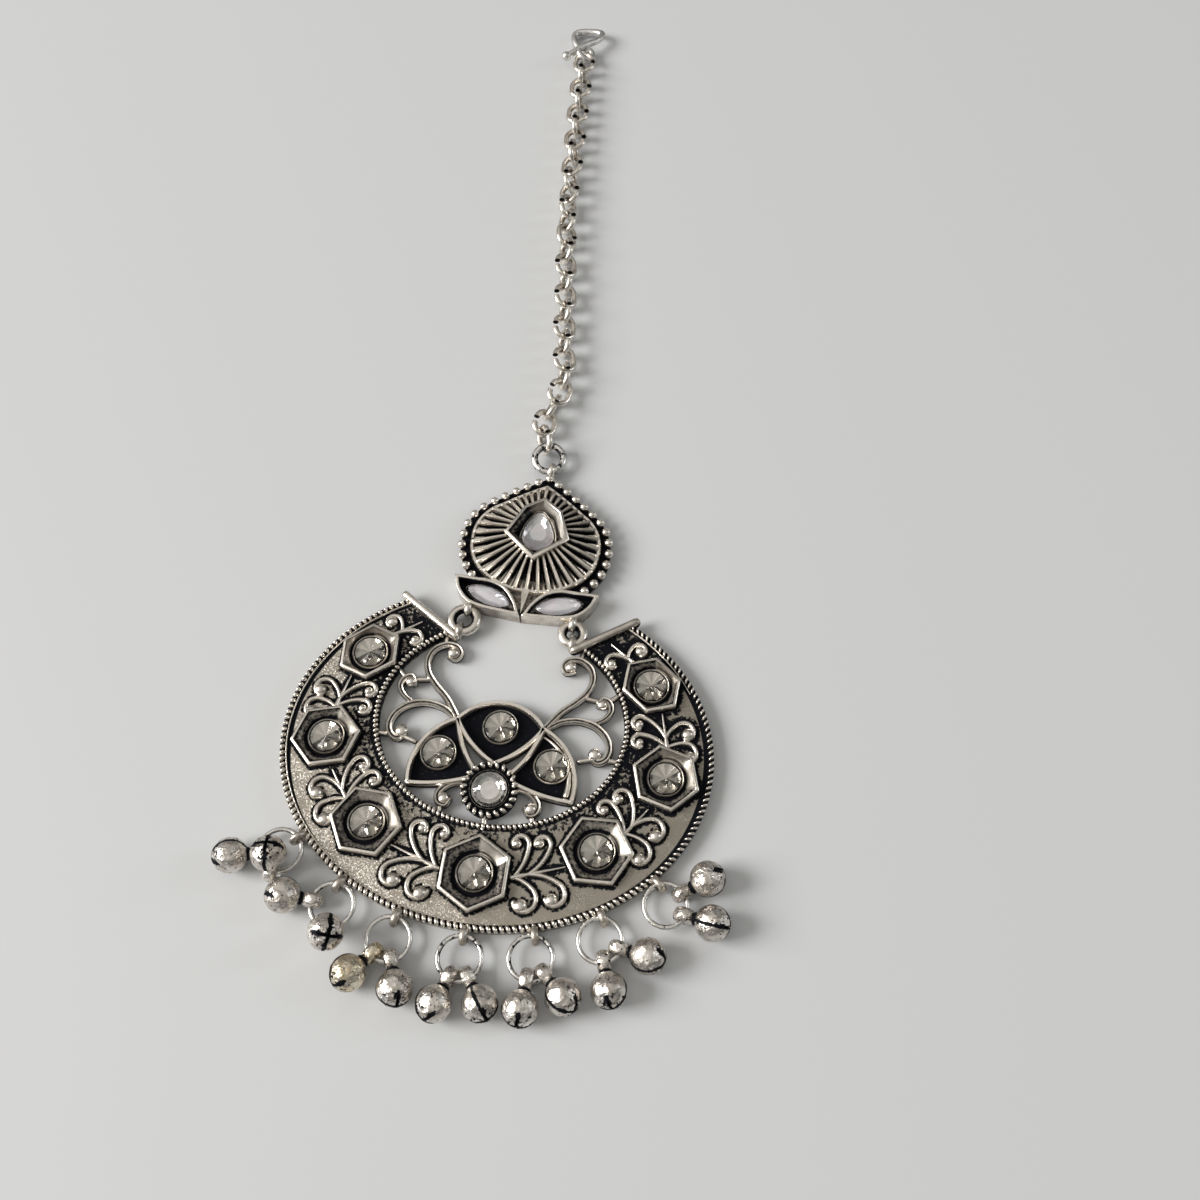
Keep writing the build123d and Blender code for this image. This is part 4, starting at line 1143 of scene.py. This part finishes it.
def link_pattern():
    """One oval link along X, flat on XY, spun round its two ends."""
    link = new_work()
    straight = (LINK_LONG - LINK_WIDE) / 2
    radius = LINK_WIDE / 2 - LINK_WIRE
    layer = link.verts.layers.float["patina_and_shade"]
    start = Matrix.Translation((straight, radius, 0)) @ rolled(90, "Y")
    bmesh.ops.create_circle(link, segments=12, radius=LINK_WIRE + 0.08, matrix=start)
    for sign in (1, -1):
        ends = [e for e in link.edges if len(e.link_faces) < 2 and (len(link.faces) == 0 or
                (abs(e.verts[0].co.x - sign * straight) < 1e-4 and e.verts[0].co.y * sign > 0))]
        bmesh.ops.spin(link, geom=ends, cent=(sign * straight, 0, 0), axis=(0, 0, -1),
                       angle=math.pi, steps=14)
        if sign == 1:
            last = [e for e in link.edges if e.is_boundary and e.verts[0].co.y < 0]
            grown = bmesh.ops.extrude_edge_only(link, edges=last)["geom"]
            bmesh.ops.translate(link, vec=(-2 * straight, 0, 0), verts=verts_in(grown))
    # each link is darker on the inner side of its wire, where the next link passes: patina, and
    # painted shade between the links
    for v in link.verts:
        past = max(0.0, abs(v.co.x) - straight)
        inward = (radius - math.hypot(past, v.co.y)) / LINK_WIRE
        v[layer] = 0.48 * sub_smooth(0.0, 0.9, inward)
    return pattern_of(link)


def solids_of(node):
    """The place of each separate solid in a node: its middle, with X along it and Z through it."""
    source = bmesh.new()
    source.from_mesh(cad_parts[node].data)
    bmesh.ops.scale(source, vec=(1000, 1000, 1000), verts=source.verts)
    bmesh.ops.remove_doubles(source, verts=source.verts, dist=0.002)
    left, places = set(source.verts), []
    while left:
        group, front = [], [left.pop()]
        while front:
            v = front.pop()
            group.append(v.co.copy())
            joined = [o for o in (e.other_vert(v) for e in v.link_edges) if o in left]
            left.difference_update(joined)
            front += joined
        points = numpy.array(group)
        middle = (points.min(0) + points.max(0)) / 2
        _, axes = numpy.linalg.eigh(numpy.cov((points - middle).T))
        along, through_it = Vector(axes[:, 2]), Vector(axes[:, 0])
        if along.y < 0:
            along = -along
        places.append(set_along(middle, along, through_it.cross(along), through_it))
    source.free()
    return sorted(places, key=lambda place: place.translation.y)


link = link_pattern()
work = new_work()
for place in solids_of("chain"):
    far = sub_smooth(60, 125, place.translation.y)
    place = place @ rolled(CHAIN_ROLL[0] + (CHAIN_ROLL[1] - CHAIN_ROLL[0]) * far, "X")
    lowest = min((place @ v.co).z for v in link.vertices)
    stamp(work, link, Matrix.Translation((0, 0, max(0.0, 0.02 - lowest))) @ place)
show("chain_links", work, silver_relief, ["chain"], 60)


# ---- bells -----------------------------------------------------------------
# Round ghungroo bells pressed from thin sheet, with a cross slit at the foot and a thick eye
# soldered on top. Two hang on every ring; they are polished, dented a little and spotted black.
BELL_R, SHEET, SLIT = 2.2, 0.22, 0.2
BAIL_AT = 3.5                           # from a bell's middle to its ring
LYING = -14.0                           # how far a bell that rests on the table dips
GILT_BELL = 5                           # the one bell of a warmer tone
# one row for each bell: its ring, place on the ring, swing from straight out, lift, and how
# far its seam is turned from the top
BELLS = [(1, 195, 0, LYING, 40), (1, 262, -172, 66, 15), (2, 175, 5, LYING, 75),
         (2, 255, 67, 60, 10), (3, 230, 0, LYING, 55), (3, 290, 0, LYING, 70),
         (4, 250, 0, LYING, 60), (4, 305, 0, LYING, 5), (5, 267, 0, LYING, 85),
         (5, 320, -3, LYING, 48), (6, 286, 2, LYING, 110), (6, 345, 6, LYING, 65),
         (7, 338, 12, LYING, 20), (7, 42, -8, LYING, 80)]


def bell_metal(name, body, shade):
    """Polished sheet metal with blotches of black round its seams."""
    metal = Finish(name)
    patina_and_shade = metal.attribute("patina_and_shade")
    cloud, spots, fine = metal.grain(0.5, 2.0), metal.grain(1.8, 4.0, 0.65), metal.grain(5.0, 2.0)
    black = (patina_and_shade * 0.5 + spots + (fine - 0.5) * 0.4).step(0.6, 0.66)
    tone = cloud.step(0.35, 0.7).over(body, shade)
    metal.coat_with(base_color=black.over(tone, BLACK), metallic=1.0 - black * 0.7,
                    roughness=0.2 + cloud * 0.12 + black * 0.25, specular_ior_level=0.12)
    metal.emboss(cloud * 2.6 + spots * 0.6 + fine * 0.15, 0.22, 0.9)
    return metal.material


def bell_pattern():
    """A bell's shell, its neck towards +Z and the slits at its foot."""
    shell = new_work()
    layer = shell.verts.layers.float["patina_and_shade"]
    bmesh.ops.create_cube(shell, size=2)
    # the cube is sliced beside the slits and in even steps, and blown up to a ball
    lines = [SLIT / BELL_R / 2, SLIT / BELL_R * 1.4]
    lines += [math.tan(math.radians(a)) for a in (16, 24, 31, 38)]
    for axis in ((1, 0, 0), (0, 1, 0), (0, 0, 1)):
        for far in lines + [-far for far in lines]:
            bmesh.ops.bisect_plane(shell, geom=shell.verts[:] + shell.edges[:] + shell.faces[:],
                                   plane_co=Vector(axis) * far, plane_no=axis)
    open_faces = []
    for face in shell.faces:
        x, y, z = face.calc_center_median()
        if z < -0.99 and min(abs(x), abs(y)) < lines[0] and max(abs(x), abs(y)) < lines[-1]:
            open_faces.append(face)
    bmesh.ops.delete(shell, geom=open_faces, context="FACES")
    for v in shell.verts:
        v.co = v.co.normalized() * BELL_R
        seam = 0.8 * (1 - sub_smooth(0.05, 0.3, abs(v.co.x)))
        cross = 1 - sub_smooth(0.1, 0.34, min(abs(v.co.x), abs(v.co.y)))
        foot = sub_smooth(0.35, 0.7, -v.co.z / BELL_R)
        neck = sub_smooth(0.86, 0.96, v.co.z / BELL_R)
        v[layer] = max(seam, 0.9 * foot * cross, 0.12 * foot, neck)
        v.co *= 0.984 + 0.02 * noise.noise(v.co * 0.9)
    bmesh.ops.recalc_face_normals(shell, faces=shell.faces)
    bmesh.ops.solidify(shell, geom=shell.faces[:], thickness=SHEET)
    for v in shell.verts:               # the inside is black
        if v.co.length < BELL_R - SHEET * 0.6:
            v[layer] = 2.0
    stamp(shell, turned([(0, 1.95, 1.6), (0.82, 2.0, 1.6), (0.78, 2.25, 1.2), (0.6, 2.42, 0.8),
                         (0.55, 2.7, 0.3), (0, 2.75, 0.3)], 24))
    return pattern_of(shell)


def bell_place(number, place, swing, lift):
    """Where a bell hangs on its ring."""
    rim_place, way = RIM_LOOPS[number - 1]
    x, y, _ = beside_rim(rim_place, LOOP_OUT)
    lie, turn, aim = math.radians(way), math.radians(place), math.radians(place + swing)
    wire = Vector((x + RING_R * (math.cos(lie) + math.cos(turn)),
                   y + RING_R * (math.sin(lie) + math.sin(turn)), RING_Z))
    along, up = Vector((-math.sin(turn), math.cos(turn), 0)), math.radians(lift)
    out = Vector((math.cos(aim) * math.cos(up), math.sin(aim) * math.cos(up), math.sin(up)))
    if lift == LYING:                   # it rests on the table, farther out the more it swings
        far = 3.3 + 0.4 * abs(math.sin(math.radians(swing)))
        centre = Vector((wire.x + out.x * far, wire.y + out.y * far, BELL_R + 0.02))
        out.z = -out.z
    else:
        centre = wire + out * BAIL_AT
    hole = (along - out * along.dot(out)).normalized()
    return set_along(centre, hole, out.cross(hole), -out)


bell_silver = bell_metal("bell_silver", (0.86, 0.815, 0.76, 1), (0.58, 0.53, 0.475, 1))
bell_gilt = bell_metal("bell_warm", (0.86, 0.80, 0.66, 1), (0.66, 0.53, 0.34, 1))
bell = bell_pattern()
bail = ring_pattern(0.92, 0.46, 32, 12, tall=1.75, low=-3, high=-2)
for number, (*hang, seam) in enumerate(BELLS, start=1):
    work = new_work()
    place = bell_place(*hang)
    stamp(work, bell, place @ rolled(seam, "Z"))
    stamp(work, bail, place @ at(0, 0, BAIL_AT) @ rolled(90, "Y"))
    for v in work.verts:                # its foot rests flat on the table
        v.co.z = max(v.co.z, 0.01)
    show(f"bell_{number}_shell", work, bell_gilt if number == GILT_BELL else bell_silver,
         [f"bell_{number}"], 50)


# ---- hair hook -------------------------------------------------------------
# One length of thicker wire, matt from wear: an eye on the last link, a bent loop and a ball on
# its point. The top ring joins the other end of the chain to the crown.
HOOK_WIRE, HOOK_BALL, HOOK_EYE_R = 0.42, 0.75, 1.25
HOOK_EYE_TILT, HOOKED_IN = 25, 0.42     # how the eye leans, and how far it reaches into the link
TOP_RING_WIRE = 0.38
CHAIN_START, CHAIN_END = (-0.35, 44.8, 1.9), (-5.4, 122.6, 1.6)


def worn_wire():
    """Matt grey wire."""
    metal = Finish("worn_wire")
    cloud, spots = metal.grain(1.2, 3.0), metal.grain(3.0, 3.0)
    black = spots.step(0.6, 0.7)
    tone = cloud.step(0.3, 0.7).over((0.80, 0.79, 0.77, 1), (0.58, 0.565, 0.54, 1))
    metal.coat_with(base_color=(black * 0.8).over(tone, BLACK), metallic=1.0 - black * 0.4,
                    roughness=0.3 + cloud * 0.2)
    metal.emboss(spots, 0.02, 0.5)
    return metal.material


hook_metal = worn_wire()
x, y, z = CHAIN_END
bends = [(x + 0.1, y + 1.7, 1.3), (x - 1.2, y + 2.6, 0.8), (x - 2.3, y + 4.3, 0.8),
         (x - 2.6, y + 5.9, 0.8), (x - 1.6, y + 6.7, 0.9), (x + 0.9, y + 6.75, 1.1),
         (x + 2.2, y + 6.0, 1.4), (x + 1.6, y + 4.2, 1.7), (x - 0.5, y + 1.9, 2.2),
         (x - 2.0, y + 0.3, 2.1), (x - 3.1, y - 0.5, 1.9)]
thick = HOOK_WIRE + 0.12
work = new_work()
stamp(work, pull_wire(through(bends), thick, thick, 0, sides=14, low=-3, top=-2))
stamp(work, ring_pattern(HOOK_EYE_R, HOOK_WIRE + 0.1, 36, 14),
      at(x, y + HOOK_EYE_R - HOOKED_IN, z) @ rolled(HOOK_EYE_TILT, "Y"))
stamp(work, bead_pattern(HOOK_BALL, HOOK_BALL, HOOK_BALL, 14, 20), at(*bends[-1]))
show("hook_wire", work, hook_metal, ["hook"], 60)

ring, lie = ring_between(crown_point(*APEX_EYE), CHAIN_START, TOP_RING_WIRE + 0.1)
show_one("top_ring_wire", ring, lie, spotted_wire, "top_ring", "bright_wire", 60)


# ---- table, light and camera -----------------------------------------------
# A plain pale table under a ceiling that is brighter on the left, a broad soft window light
# from the left, and a faint cool fill from the right. The camera looks down from the near end.
table = bmesh.new()
bmesh.ops.create_grid(table, x_segments=1, y_segments=1, size=2.0)
bmesh.ops.translate(table, vec=(0, 0, -0.00003), verts=table.verts)
mesh = bpy.data.meshes.new("table")
table.to_mesh(mesh)
table.free()
mesh.materials.append(plain_finish("pale_table", base_color=(0.585, 0.595, 0.605, 1),
                                   roughness=0.6))
put_in_scene("table", mesh)

room = bpy.data.worlds.new("room")
room.use_nodes = True
sky = Mark(room.node_tree)
aloft = sky.node("TexCoord")
height = sky.node("SeparateXYZ", (), {"Vector": aloft}, 2)
across = sky.node("SeparateXYZ", (), {"Vector": aloft})
ceiling = across.step(-0.35, 0.45).over((0.74, 0.705, 0.665, 1), (0.44, 0.44, 0.405, 1))
shade = height.step(0.15, 1.0).over((0.07, 0.071, 0.074, 1), ceiling)
background = room.node_tree.nodes["Background"]
room.node_tree.links.new(shade.socket, background.inputs["Color"])
bpy.context.scene.world = room


LIT = Vector((0, 0.02, 0))              # what the lights face, in metres


def soft_light(name, place, size, watts, colour):
    """An oblong soft light that faces the crescent."""
    lamp = bpy.data.lights.new(name, "AREA")
    lamp.shape, lamp.energy, lamp.color = "RECTANGLE", watts, colour
    lamp.size, lamp.size_y = size
    holder = put_in_scene(name, lamp)
    holder.location = place
    holder.rotation_euler = (Vector(place) - LIT).to_track_quat("Z", "Y").to_euler()


soft_light("window", (-1.57, -0.28, 1.04), (1.0, 0.9), 42.5, (1.0, 0.985, 0.96))
soft_light("side_fill", (0.90, 0.30, 0.45), (0.20, 0.35), 1.2, (0.93, 0.96, 1.0))
bpy.context.scene.view_settings.view_transform = "Standard"

lens = bpy.data.cameras.new("camera")
lens.lens, lens.sensor_width = 36, 36
lens.clip_start = 0.001
eye = put_in_scene("camera", lens)
eye.location = (0.0191, -0.0459, 0.1458)
eye.rotation_euler = (math.radians(90 - 64.6), 0, math.radians(7.42))
bpy.context.scene.camera = eye
